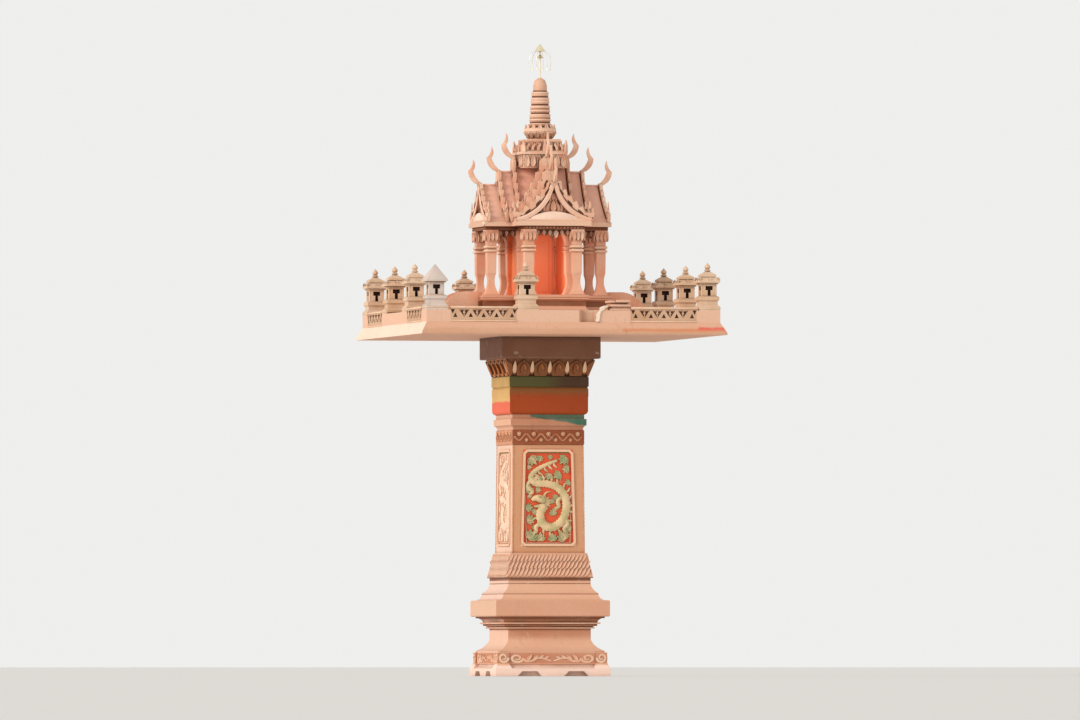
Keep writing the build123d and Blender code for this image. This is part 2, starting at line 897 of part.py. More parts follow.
def horn(tier, roofs):
    """S-curved ridge horn: a root on the ridge and between the boards, a belly and a hooked tip."""
    drop = board_width if tier else tier_ridges[0] - eave_top - arch_rise
    belly = (horn_reach, horn_bend_height)
    hollow = (horn_reach - horn_width, horn_bend_height)
    tip = (horn_reach - horn_width, horn_height)
    heel = (-horn_root, 0)
    root = [(-board_thickness, -board_raise), (-board_thickness, -drop), (0, -drop), (0, 0)]
    face = make_face(Curve() + [
        Polyline(heel, *root),
        SagittaArc(root[-1], belly, horn_bows[0]),
        SagittaArc(belly, tip, horn_bows[1]),
        SagittaArc(tip, hollow, horn_bows[2]),
        SagittaArc(hollow, heel, horn_bows[3]),
    ])
    ridge_end = (0, -tier_reaches[tier], tier_ridges[tier])
    drawn = Plane(origin=ridge_end, x_dir=(0, -1, 0), z_dir=(-1, 0, 0)) * face
    solid = extrude(drawn, amount=horn_thickness / 2, both=True)
    for roof in roofs:
        solid -= roof
    return solid


def spire_base(roofs):
    """Square stage that sits astride the crossing of the ridges, with pointed leaves."""
    body = moulding([
        (spire_half, spire_bottom, 0),
        (spire_half, spire_ledge - spire_ledge_height, 0),
        (spire_half + belt_edge, spire_ledge - spire_ledge_height, 0),
        (spire_half + belt_edge, spire_ledge, 0),
        (spire_stage_half, spire_ledge + spire_ledge_height, 0),
        (spire_stage_half - belt_edge, spire_stage_top - 2 * spire_ledge_height, 0),
        (spire_stage_half, spire_stage_top - spire_ledge_height, 0),
        (spire_stage_half, spire_stage_top, 0),
    ])
    half = spike_width / 2
    right = [(half, 0), (half * 0.8, spike_height * 0.45), (0, spike_height)]
    leaf = Polygon(*right, (-half * 0.8, spike_height * 0.45), (-half, 0), align=None)
    spike = extrude(Plane.XZ * leaf, amount=spike_thickness)
    corner = spire_half * 2**0.5 - spike_thickness
    for turn in range(4):
        body += Rot(0, 0, 90 * turn) * Pos(0, -spire_half + spike_thickness, spire_ledge - overlap) * spike
        body += Rot(0, 0, 90 * turn + 45) * Pos(0, -corner, spire_ledge - overlap) * spike
    for roof in roofs:
        body -= roof
    return body


def spire_bell():
    """Round lotus stage with a flared rim."""
    rim = spire_stage_top + bell_rim_height
    return turned_round([
        (bell_neck_radius, spire_stage_top, 0),
        (bell_rim_radius, rim, 0),
        (bell_rim_radius, rim + spire_ledge_height, 0),
        (rings_bottom_radius, bell_top, 0),
    ])


def ring_radius(z):
    """Radius of the ring stack's straight taper at a height."""
    share = (z - bell_top) / (rings_top - bell_top)
    return rings_bottom_radius + (rings_top_radius - rings_bottom_radius) * share


def spire_rings():
    """Tapered stack of rings, bevelled below, with a bullet-shaped bud on top."""
    steps = []
    bottom = bell_top
    for rise in ring_rises:
        steps.append((ring_radius(bottom) - ring_groove, bottom, 0))
        steps.append((ring_radius(bottom), bottom + ring_slope, 0))
        steps.append((ring_radius(bottom), bottom + rise, 0))
        bottom += rise
    return turned_round(steps + [
        (rings_top_radius - ring_groove, rings_top, 0),
        (rings_top_radius - ring_groove, rings_top + bud_height * 0.45, 0),
        (rings_top_radius * 0.65, rings_top + bud_height * 0.83, 0),
        (2 * rod_radius, bud_top, 0),
    ])


def umbrella():
    """Metal rod with two umbrella tiers."""
    return turned_round([
        (rod_radius, bud_top, 0),
        (rod_radius, umbrella_small_bottom, 0),
        (umbrella_small_radius, umbrella_small_bottom, 0),
        (rod_radius, umbrella_small_bottom + umbrella_gap / 2, 0),
        (rod_radius, umbrella_bottom, 0),
        (umbrella_radius, umbrella_bottom, 0),
        (tip_half, umbrella_top, 0),
    ])


def build_pedestal():
    """Everything below the tray."""
    save("foot", foot())
    save("pedestal_neck", pedestal_neck())
    save("belt_slab", belt_slab())
    save("upper_cyma", upper_cyma())
    save("carved_skirt", carved_skirt())
    save("shaft", shaft())
    for side in SIDES:
        save(f"panel_{side}", turned(panel(), side))
    save("bead_band", bead_band())
    save("collar", collar())
    save("cushion", cushion())
    save("capital_fillet", capital_fillet())
    save("lotus_petals", petals())
    save("capital_slab", capital_slab())


def build_tray():
    """Tray, deck, fences and small pavilions."""
    save("tray", tray())
    save("deck", deck())
    for side in SIDES:
        save(f"fence_{side}", turned(fence(1), side), turned(fence(-1), side))
    whole = stepped_pavilion()
    edge = rim_half - pavilion_base_half
    middles = [turned(rim_place(-pavilion_offset) * whole, side) for side in SIDES]
    middles += [turned(rim_place(pavilion_offset) * whole, side) for side in SIDES if side != "front"]
    save("rim_pavilions", *middles)
    save("broken_plinth", rim_place(pavilion_offset) * broken_base())
    corners = [Pos(edge, -edge, deck_top), Pos(edge, edge, deck_top), Pos(-edge, edge, deck_top)]
    save("corner_pavilions", *[place * whole for place in corners])
    save("grey_pavilion", Pos(-edge, -edge, deck_top) * plain_pavilion())


def build_shrine():
    """Base, stairs on all sides but the front, columns, sanctum and lintels."""
    save("shrine_base", shrine_base())
    posts = core_posts()
    save("core_posts", *posts)
    for side in ("right", "back", "left"):
        save(f"sanctum_wall_{side}", sanctum_wall(side, posts))
        save(f"stair_{side}", turned(stair(), side))
    front_columns = columns()
    front_valances = valances(posts + front_columns)
    save("columns", *[turned(column, side) for side in SIDES for column in front_columns])
    save("valances", *[turned(board, side) for side in SIDES for board in front_valances])
    save("architrave", architrave())
    save("eave_slab", eave_slab())


def build_roof():
    """Three roof tiers, their gable boards and the spire."""
    roofs = roof_tiers()
    for name, roof in zip(("roof_lower", "roof_middle", "roof_upper"), roofs):
        save(name, roof)
    boards = gable_boards(roofs)
    for side in SIDES:
        save(f"gable_{side}", *[turned(board, side) for board in boards])
    horns = [horn(tier, roofs) for tier in range(len(tier_ridges))]
    save("ridge_horns", *[turned(shape, side) for side in SIDES for shape in horns])
    save("spire_base", spire_base(roofs))
    save("spire_bell", spire_bell())
    save("spire_rings", spire_rings())
    save("umbrella", umbrella())


build_pedestal()
build_tray()
build_shrine()
build_roof()
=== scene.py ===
import logging
import math
import random
from dataclasses import dataclass
from enum import Enum
from functools import reduce
from typing import Callable, Dict, List, Sequence, Tuple

import bmesh
import bpy
from mathutils import Matrix, Vector


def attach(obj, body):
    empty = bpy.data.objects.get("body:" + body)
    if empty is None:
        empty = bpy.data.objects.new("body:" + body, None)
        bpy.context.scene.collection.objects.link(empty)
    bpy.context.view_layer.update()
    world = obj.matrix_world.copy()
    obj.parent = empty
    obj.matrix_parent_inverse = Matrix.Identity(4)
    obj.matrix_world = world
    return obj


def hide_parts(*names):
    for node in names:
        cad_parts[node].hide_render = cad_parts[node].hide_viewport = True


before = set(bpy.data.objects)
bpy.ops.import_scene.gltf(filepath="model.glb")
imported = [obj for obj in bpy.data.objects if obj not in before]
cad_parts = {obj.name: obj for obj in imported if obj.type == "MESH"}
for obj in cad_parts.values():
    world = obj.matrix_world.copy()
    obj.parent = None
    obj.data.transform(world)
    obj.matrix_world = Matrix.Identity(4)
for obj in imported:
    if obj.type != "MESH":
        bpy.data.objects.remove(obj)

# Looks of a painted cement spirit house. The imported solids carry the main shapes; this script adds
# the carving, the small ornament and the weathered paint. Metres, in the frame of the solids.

LOG = logging.getLogger("spirit_house")
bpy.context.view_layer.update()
Piece = bpy.types.Object
Socket = bpy.types.NodeSocket
Colour = Tuple[float, float, float, float]
FlatPoint = Tuple[float, float]
Direction = Tuple[float, float, float]
TO_LEFT, TO_RIGHT, TO_FRONT = (-1.0, 0.0, 0.0), (1.0, 0.0, 0.0), (0.0, -1.0, 0.0)
FAR = 9.0
SHARP_EDGE = math.radians(40.0)
MERGE = 0.00002


def paint(red: int, green: int, blue: int) -> Colour:
    """A colour written as on a paint chart, as linear light.

    Args:
        red: red part, 0 to 255.
        green: green part, 0 to 255.
        blue: blue part, 0 to 255.

    Returns:
        The same colour in linear values, opaque.
    """
    parts = [part / 255 for part in (red, green, blue)]
    linear = [p / 12.92 if p <= 0.04045 else ((p + 0.055) / 1.055) ** 2.4 for p in parts]
    return (linear[0], linear[1], linear[2], 1.0)


def shift(x: float, y: float, z: float) -> Matrix:
    """A move along the three axes."""
    return Matrix.Translation((x, y, z))


def spin(degrees: float, axis: str = "Y") -> Matrix:
    """A turn about an axis through the origin, in the front plane unless it is named."""
    return Matrix.Rotation(math.radians(degrees), 4, axis)


def grow(size: float) -> Matrix:
    """The same growth in all directions."""
    return Matrix.Scale(size, 4)


def stretch(x: float, y: float = 1.0, z: float = 1.0) -> Matrix:
    """A growth along each axis, where -1 mirrors."""
    return Matrix.Diagonal((x, y, z, 1.0))


def both(place: Matrix) -> List[Matrix]:
    """A place on the right and its mirror image on the left."""
    return [stretch(sign) @ place for sign in (1, -1)]


class Side(Enum):
    """The four sides of the house, as quarter turns from the front."""

    FRONT = 0
    RIGHT = 1
    BACK = 2
    LEFT = 3

    @property
    def turn(self) -> Matrix:
        """The turn that carries a front piece to this side."""
        return Matrix.Rotation(self.value * math.pi / 2, 4, "Z")

    @property
    def word(self) -> str:
        """The side's name as the nodes have it."""
        return self.name.lower()


TURNS = [side.turn for side in Side]
STAIR_TURNS = TURNS[1:]


class Bench:
    """The workbench: steps with Blender's own tools, each on one piece at a time."""

    @staticmethod
    def clear() -> None:
        """Put everything down, out of edit mode."""
        if bpy.context.mode != "OBJECT":
            bpy.ops.object.mode_set(mode="OBJECT")
        bpy.ops.object.select_all(action="DESELECT")

    @staticmethod
    def pick(*pieces: Piece) -> None:
        """Take pieces in hand.

        Args:
            pieces: the objects to select, of which the first becomes active.
        """
        Bench.clear()
        for piece in pieces:
            piece.select_set(True)
        bpy.context.view_layer.objects.active = pieces[0]

    @staticmethod
    def settle() -> Piece:
        """The piece just added, with its place put into its mesh."""
        bpy.ops.object.transform_apply(location=True, rotation=True, scale=True)
        return bpy.context.active_object

    @staticmethod
    def block(low: Sequence[float], high: Sequence[float], rounding: float = 0.0, steps: int = 2) -> Piece:
        """A block between two corners, the start of a piece.

        Args:
            low: lowest corner.
            high: highest corner.
            rounding: width of its rounded edges.
            steps: steps in the rounding.

        Returns:
            The block.
        """
        Bench.clear()
        centre = (Vector(low) + Vector(high)) / 2
        bpy.ops.mesh.primitive_cube_add(size=1, location=centre, scale=Vector(high) - Vector(low))
        piece = Bench.settle()
        if rounding:
            Bench.bevel(piece, rounding, steps)
        return piece

    @staticmethod
    def slab(half: float, low: float, high: float, rounding: float = 0.0) -> Piece:
        """A square slab on the axis."""
        return Bench.block((-half, -half, low), (half, half, high), rounding)

    @staticmethod
    def disc(centre: Sequence[float], radius: float, sides: int, lying: bool = False) -> Piece:
        """A flat disc, the start of a turned or drawn-out piece.

        Args:
            centre: its middle.
            radius: its radius.
            sides: how many edges it has.
            lying: whether it lies flat, or else stands in the front plane.

        Returns:
            The disc.
        """
        Bench.clear()
        bpy.ops.mesh.primitive_circle_add(
            vertices=sides, radius=radius, fill_type="NGON", location=centre,
            rotation=(0, 0, 0) if lying else (math.pi / 2, 0, 0),
        )
        return Bench.settle()

    @staticmethod
    def edit(piece: Piece, front_only: bool = False) -> None:
        """Go into edit mode with faces selected.

        Args:
            piece: the piece to edit.
            front_only: take only the faces that look to the front, or else all.
        """
        Bench.pick(piece)
        bpy.ops.object.mode_set(mode="EDIT")
        bpy.ops.mesh.select_mode(type="FACE")
        bpy.ops.mesh.select_all(action="DESELECT")
        mesh = bmesh.from_edit_mesh(piece.data)
        for face in mesh.faces:
            face.select_set(not front_only or face.normal.y < -0.9)
        bmesh.update_edit_mesh(piece.data)

    @staticmethod
    def draw_out(x: float, y: float, z: float) -> None:
        """Extrude the selected faces by so much along the three axes."""
        bpy.ops.mesh.extrude_region_move(TRANSFORM_OT_translate={"value": (x, y, z)})

    @staticmethod
    def resize(share: float, centre: Sequence[float], upright: float = 1.0) -> None:
        """Scale the selected faces about a point, upwards by its own share."""
        bpy.ops.transform.resize(value=(share, share, upright), center_override=centre)

    @staticmethod
    def inset(*steps: FlatPoint) -> None:
        """Inset the selected faces, once for each thickness and depth."""
        for thickness, depth in steps:
            bpy.ops.mesh.inset(thickness=thickness, depth=depth)

    @staticmethod
    def bevel(piece: Piece, width: float, steps: int = 2) -> None:
        """Round a piece's sharp edges with a modifier that is applied.

        Args:
            piece: the piece.
            width: width of the rounding.
            steps: steps in it.
        """
        Bench.pick(piece)
        rounding = piece.modifiers.new("rounding", "BEVEL")
        rounding.width = width
        rounding.segments = steps
        rounding.limit_method = "ANGLE"
        bpy.ops.object.modifier_apply(modifier=rounding.name)

    @staticmethod
    def outward(piece: Piece) -> Piece:
        """Merge doubles and turn all faces outwards.

        Args:
            piece: a closed piece.

        Returns:
            The piece.
        """
        Bench.edit(piece)
        bpy.ops.mesh.remove_doubles(threshold=MERGE)
        bpy.ops.mesh.normals_make_consistent(inside=False)
        bpy.ops.object.mode_set(mode="OBJECT")
        return piece

    @staticmethod
    def copy(piece: Piece, place: Matrix) -> Piece:
        """A copy with its own mesh, moved in its mesh.

        Args:
            piece: the modelled piece.
            place: where the copy goes.

        Returns:
            The copy.
        """
        twin = piece.copy()
        twin.data = piece.data.copy()
        twin.data.transform(place)
        if place.determinant() < 0:
            twin.data.flip_normals()
        bpy.context.scene.collection.objects.link(twin)
        return twin

    @staticmethod
    def join(*pieces: Piece) -> Piece:
        """Make several pieces one.

        Args:
            pieces: the pieces, of which the first keeps its object.

        Returns:
            The whole.
        """
        Bench.pick(*pieces)
        if len(pieces) > 1:
            bpy.ops.object.join()
        return pieces[0]

    @staticmethod
    def spread(model: Piece, places: Sequence[Matrix]) -> Piece:
        """Copies of a modelled piece at many places, joined, without the model itself.

        Args:
            model: the modelled piece.
            places: one place for each copy.

        Returns:
            The whole.
        """
        whole = Bench.join(*[Bench.copy(model, place) for place in places])
        bpy.data.objects.remove(model)
        return whole

    @staticmethod
    def all_round(*fronts: Piece) -> Piece:
        """The joined front pieces and their turned copies on the other three sides, as one piece."""
        return Bench.spread(Bench.join(*fronts), TURNS)

    @staticmethod
    def plate(outline: Sequence[FlatPoint], front: float, thick: float) -> Piece:
        """A flat plate in the front plane: a disc drawn out to an outline, then extruded.

        Args:
            outline: places across and up, counter-clockwise as seen from the front.
            front: how far the plate's back stands from the axis.
            thick: its thickness, towards the front.

        Returns:
            The plate.
        """
        piece = Bench.disc((0, 0, 0), 1.0, len(outline))
        for corner, (x, z) in zip(piece.data.vertices, outline):
            corner.co = Vector((x, -front, z))
        Bench.edit(piece)
        Bench.draw_out(0, -thick, 0)
        return Bench.outward(piece)

    @staticmethod
    def eased(node: str, width: float) -> Piece:
        """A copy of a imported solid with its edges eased, which takes the solid's place.

        Args:
            node: the solid.
            width: width of the easing.

        Returns:
            The copy.
        """
        piece = Bench.outward(Bench.copy(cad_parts[node], Matrix.Identity(4)))
        Bench.edit(piece)
        bpy.ops.mesh.dissolve_limited(angle_limit=math.radians(1))
        bpy.ops.object.mode_set(mode="OBJECT")
        Bench.bevel(piece, width)
        return piece

    @staticmethod
    def stem(path: Sequence[FlatPoint], radii: Sequence[float], sides: int = 7, flat: float = 1.0) -> Piece:
        """A stem drawn out along a path in the front plane, by extruding, turning and scaling its end.

        Args:
            path: places across and up, in order.
            radii: the stem's radius at each place.
            sides: edges round the stem.
            flat: thickness front to back, as a share of the width.

        Returns:
            The stem, its middle on the plane of the front at Y 0.
        """
        points = [Vector((x, 0.0, z)) for x, z in path]
        headings = []
        for before, after in zip([points[0], *points], [*points[1:], points[-1]]):
            run = after - before
            headings.append(math.atan2(run.x, run.z))
        piece = Bench.disc((0, 0, 0), radii[0], sides, lying=True)
        piece.data.transform(Matrix.Translation(points[0]) @ Matrix.Rotation(headings[0], 4, "Y"))
        Bench.edit(piece)
        for here in range(1, len(points)):
            Bench.draw_out(*(points[here] - points[here - 1]))
            bend = headings[here] - headings[here - 1]
            bend = (bend + math.pi) % (2 * math.pi) - math.pi
            bpy.ops.transform.rotate(
                value=-bend, orient_axis="Y", orient_type="GLOBAL", center_override=points[here]
            )
            share = radii[here] / radii[here - 1]
            Bench.resize(share, points[here], share)
        Bench.clear()
        piece.data.transform(stretch(1.0, flat))
        return Bench.outward(piece)

    @staticmethod
    def turned(outline: Sequence[FlatPoint], sides: int, foot: float, middle: FlatPoint = (0, 0)) -> Piece:
        """A turned piece, drawn out ring by ring from a lying disc.

        Args:
            outline: radius and height above the foot of each ring, upwards.
            sides: edges round it.
            foot: height of its foot.
            middle: where its axis stands.

        Returns:
            The turned piece.
        """
        piece = Bench.disc((*middle, foot), outline[0][0], sides, lying=True)
        Bench.edit(piece)
        for (radius, height), (wider, higher) in zip(outline, outline[1:]):
            Bench.draw_out(0, 0, higher - height)
            Bench.resize(wider / radius, (*middle, 0))
        return Bench.outward(piece)

    @staticmethod
    def ragged(piece: Piece, seed: int, reach: float) -> Piece:
        """Push every corner of a broken piece about at random.

        Args:
            piece: the piece.
            seed: seed of the random draws.
            reach: how far a corner may go along each axis.

        Returns:
            The piece.
        """
        draws = random.Random(seed)
        for corner in piece.data.vertices:
            corner.co += Vector([draws.uniform(-reach, reach) for _ in range(3)])
        return piece


def curve_through(points: Sequence[FlatPoint], steps: int) -> List[FlatPoint]:
    """Places on a smooth curve through a few points.

    Args:
        points: the points, in order.
        steps: places on each stretch between two points.

    Returns:
        The places, first and last point included.
    """
    ends = [points[0], *points, points[-1]]
    found: List[FlatPoint] = []
    for at in range(1, len(ends) - 2):
        for step in range(steps):
            t = step / steps
            x, z = [
                0.5 * (2 * q + (r - p) * t + (2 * p - 5 * q + 4 * r - s) * t ** 2
                       + (3 * q - p - 3 * r + s) * t ** 3)
                for p, q, r, s in zip(*ends[at - 1:at + 3])
            ]
            found.append((x, z))
    return [*found, points[-1]]


def swell(count: int, thick: float, thin: float, belly: float = 0.3) -> List[float]:
    """Radii of a stem that swells to its belly and tapers to a point.

    Args:
        count: how many radii.
        thick: the radius at the belly.
        thin: the radius at the two ends.
        belly: where the belly is, as a share of the way.

    Returns:
        The radii.
    """
    radii = []
    for at in range(count):
        share = at / (count - 1)
        rise = share / belly if share < belly else (1 - share) / (1 - belly)
        radii.append(thin + (thick - thin) * math.sin(rise * math.pi / 2))
    return radii


def twisted(count: int, thick: float, thin: float) -> List[float]:
    """Radii of a twisted cord, thin and thick by turns."""
    return [thick if at % 2 else thin for at in range(count)]


class NodeSheet:
    """A node tree that is being drawn, for a material, a group or the sky."""

    def __init__(self, tree: bpy.types.NodeTree) -> None:
        """Start on a tree."""
        self.tree = tree

    @classmethod
    def fresh(cls, owner: bpy.types.ID) -> "NodeSheet":
        """Start on the emptied tree of a material or a world.

        Args:
            owner: the material or world.

        Returns:
            The sheet.
        """
        owner.use_nodes = True
        owner.node_tree.nodes.clear()
        return cls(owner.node_tree)

    def node(self, kind: str, inputs: Dict[str, object] | None = None, **settings: object) -> bpy.types.Node:
        """Add a node.

        Args:
            kind: the node's type name.
            inputs: values or sockets for its named or numbered inputs.
            settings: the node's own settings.

        Returns:
            The node.
        """
        made = self.tree.nodes.new(kind)
        for name, value in settings.items():
            setattr(made, name, value)
        for key, value in (inputs or {}).items():
            socket = made.inputs[int(key)] if key.isdigit() else made.inputs[key]
            if isinstance(value, Socket):
                self.tree.links.new(value, socket)
            else:
                socket.default_value = value
        return made

    def math(self, operation: str, first: object, second: object) -> Socket:
        """One sum of two numbers or sockets."""
        return self.node("ShaderNodeMath", {"0": first, "1": second}, operation=operation).outputs[0]

    def times(self, *parts: object) -> Socket:
        """The product of numbers and sockets."""
        return reduce(lambda first, second: self.math("MULTIPLY", first, second), parts)

    def plus(self, *parts: object) -> Socket:
        """The sum of numbers and sockets."""
        return reduce(lambda first, second: self.math("ADD", first, second), parts)

    def dot(self, first: object, second: object) -> Socket:
        """How far two directions agree."""
        given = {"0": first, "1": second}
        return self.node("ShaderNodeVectorMath", given, operation="DOT_PRODUCT").outputs["Value"]

    def mix(self, share: object, first: object, second: object, blend: str = "MIX") -> Socket:
        """A mix of two colours or sockets, by the share of the second."""
        given = {"0": share, "6": first, "7": second}
        return self.node("ShaderNodeMix", given, data_type="RGBA", blend_type=blend).outputs[2]

    def between(self, value: object, low: float, high: float) -> Socket:
        """A soft step from 0 at low to 1 at high."""
        given = {"Value": value, "From Min": low, "From Max": high}
        return self.node("ShaderNodeMapRange", given, interpolation_type="SMOOTHSTEP").outputs["Result"]

    def noise(self, place: object, scale: object, detail: float = 4.0) -> Socket:
        """Cloudy noise, by how fine it is and how many layers it has."""
        given = {"Vector": place, "Scale": scale, "Detail": detail}
        return self.node("ShaderNodeTexNoise", given).outputs["Fac"]

    def matt(self, colour: Socket, rough: object, **more: object) -> None:
        """Finish a material with its shader.

        Args:
            colour: the base colour.
            rough: the roughness.
            more: values for the shader's other inputs, with underscores for spaces.
        """
        given = {"Base Color": colour, "Roughness": rough}
        given.update({key.replace("_", " "): value for key, value in more.items()})
        shader = self.node("ShaderNodeBsdfPrincipled", given)
        self.node("ShaderNodeOutputMaterial", {"Surface": shader.outputs["BSDF"]})


class EffectGroup(Enum):
    """The shader groups that several finishes share."""

    WEATHERING = "weathering"
    BANDED_DRIPS = "banded_drips"


class PaintShop:
    """Builds the shared effect groups once."""

    def __init__(self) -> None:
        """Make both groups."""
        self.groups = {EffectGroup.WEATHERING: self.weathering(), EffectGroup.BANDED_DRIPS: self.drips()}

    @staticmethod
    def new_group(
        kind: EffectGroup, entries: Dict[str, str], results: Dict[str, str]
    ) -> Tuple[NodeSheet, Dict[str, Socket], Callable[[str, Socket], None]]:
        """An empty group with its sockets.

        Args:
            kind: which group.
            entries: name and type of each input.
            results: name and type of each output.

        Returns:
            The sheet, the sockets that bring the inputs, and a step that puts out a result.
        """
        tree = bpy.data.node_groups.new(kind.value, "ShaderNodeTree")
        for way, sockets in (("INPUT", entries), ("OUTPUT", results)):
            for name, form in sockets.items():
                tree.interface.new_socket(name=name, in_out=way, socket_type=f"NodeSocket{form}")
        sheet = NodeSheet(tree)
        given = {socket.name: socket for socket in sheet.node("NodeGroupInput").outputs if socket.name}
        out = sheet.node("NodeGroupOutput")
        return sheet, given, lambda name, socket: tree.links.new(socket, out.inputs[name])

    def weathering(self) -> bpy.types.NodeTree:
        """Old paint on cement: patches, rubbed edges, soiling and painted shade in the corners, dust on
        ledges, pits.

        Returns:
            The group.
        """
        sheet, given, put = self.new_group(
            EffectGroup.WEATHERING,
            {"Place": "Vector", "Paint": "Color", "Faded": "Color", "Bare": "Color", "Grime": "Color",
             "Patch size": "Float", "Wear": "Float", "Dirt": "Float"},
            {"Color": "Color", "Dull": "Float", "Height": "Float"},
        )
        place, wear, dirt = given["Place"], given["Wear"], given["Dirt"]
        patches = sheet.noise(place, given["Patch size"], 6.0)
        fine = sheet.noise(place, 140.0, 5.0)
        grain = sheet.noise(place, 620.0, 3.0)
        colour = sheet.mix(sheet.between(patches, 0.36, 0.66), given["Paint"], given["Faded"])
        darker = sheet.mix(0.16, colour, (0.72, 0.62, 0.56, 1.0), "MULTIPLY")
        colour = sheet.mix(sheet.between(fine, 0.3, 0.75), darker, colour)
        normal = sheet.node("ShaderNodeNewGeometry").outputs["Normal"]
        rounded = sheet.node("ShaderNodeBevel", {"Radius": 0.0035}, samples=4).outputs["Normal"]
        bent = sheet.between(sheet.dot(normal, rounded), 0.99, 0.86)
        crevice = sheet.node("ShaderNodeAmbientOcclusion", {"Distance": 0.03}, samples=6).outputs["AO"]
        ragged = sheet.between(sheet.plus(fine, sheet.times(patches, 0.6)), 0.74, 0.9)
        rubbed = sheet.times(bent, sheet.between(crevice, 0.55, 0.9), ragged, wear)
        flakes = sheet.times(sheet.between(sheet.noise(place, 31.0, 8.0), 0.66, 0.7), wear)
        bare = sheet.math("MAXIMUM", rubbed, sheet.times(flakes, 0.7))
        colour = sheet.mix(bare, colour, given["Bare"])
        # Painted shade and soiling: darker where ambient occlusion finds corners and recesses.
        hidden = sheet.math("SUBTRACT", 1.0, sheet.between(crevice, 0.25, 0.95))
        grime_and_shade_share = sheet.times(hidden, sheet.between(patches, 0.2, 0.6), dirt)
        colour = sheet.mix(grime_and_shade_share, colour, given["Grime"])
        up = sheet.node("ShaderNodeSeparateXYZ", {"0": normal}).outputs["Z"]
        dust = sheet.times(sheet.between(up, 0.6, 0.95), sheet.between(fine, 0.35, 0.7))
        dust = sheet.times(dust, sheet.times(dirt, 0.45))
        pits = sheet.node("ShaderNodeTexVoronoi", {"Vector": place, "Scale": 210.0}).outputs["Distance"]
        pitted = sheet.times(sheet.between(pits, 0.02, 0.16), 0.35)
        height = sheet.plus(sheet.times(fine, 0.6), sheet.times(grain, 0.3), pitted)
        put("Color", sheet.mix(dust, colour, paint(196, 176, 150)))
        put("Dull", sheet.plus(sheet.times(fine, 0.22), sheet.times(bare, 0.15)))
        put("Height", sheet.math("SUBTRACT", height, sheet.times(bare, 0.5)))
        return sheet.tree

    def drips(self) -> bpy.types.NodeTree:
        """Rain marks: thin upright streaks that come and go down the face.

        Returns:
            The group, which puts out a mask.
        """
        sheet, given, put = self.new_group(
            EffectGroup.BANDED_DRIPS, {"Place": "Vector", "Amount": "Float"}, {"Mask": "Float"}
        )
        place = given["Place"]
        drawn = sheet.node("ShaderNodeMapping", {"Vector": place, "Scale": (1.0, 1.0, 0.16)})
        thin = sheet.between(sheet.noise(drawn.outputs["Vector"], 64.0, 5.0), 0.56, 0.74)
        broken = sheet.between(sheet.noise(place, 9.0, 3.0), 0.46, 0.66)
        put("Mask", sheet.times(thin, broken, given["Amount"]))
        return sheet.tree


@dataclass(frozen=True)
class Tint:
    """A second paint on part of a piece, bounded by planes with a ragged edge.

    Attributes:
        colour: the second paint.
        low: lowest place that has it.
        high: highest place that has it.
        facing: direction that the painted faces look in, or None for all.
        ragged: how far its edge wanders, in metres.
        lean: how far its lower and upper bounds fall per metre across.
        soft: half the width over which it fades in, in metres.
    """

    colour: Colour
    low: Direction = (-FAR, -FAR, -FAR)
    high: Direction = (FAR, FAR, FAR)
    facing: Direction | None = None
    ragged: float = 0.006
    lean: float = 0.0
    soft: float = 0.002

    def over(self, sheet: NodeSheet, place: Socket, colour: object) -> Socket:
        """Lay this paint over part of a piece.

        Args:
            sheet: the material's sheet.
            place: the coordinates.
            colour: the paint so far.

        Returns:
            The socket with both paints.
        """
        wander = sheet.times(sheet.math("SUBTRACT", sheet.noise(place, 18.0, 4.0), 0.5), self.ragged * 6)
        axes = sheet.node("ShaderNodeSeparateXYZ", {"0": place}).outputs
        mask: object = 1.0
        for axis, low, high in zip("XYZ", self.low, self.high):
            moved = sheet.plus(axes[axis], wander)
            if axis == "Z" and self.lean:
                moved = sheet.plus(moved, sheet.times(axes["X"], self.lean))
            if low > -FAR:
                mask = sheet.times(mask, sheet.between(moved, low - self.soft, low + self.soft))
            if high < FAR:
                mask = sheet.times(mask, sheet.between(moved, high + self.soft, high - self.soft))
        if self.facing is not None:
            normal = sheet.node("ShaderNodeNewGeometry").outputs["Normal"]
            mask = sheet.times(mask, sheet.between(sheet.dot(normal, self.facing), 0.3, 0.6))
        return sheet.mix(mask, colour, self.colour)


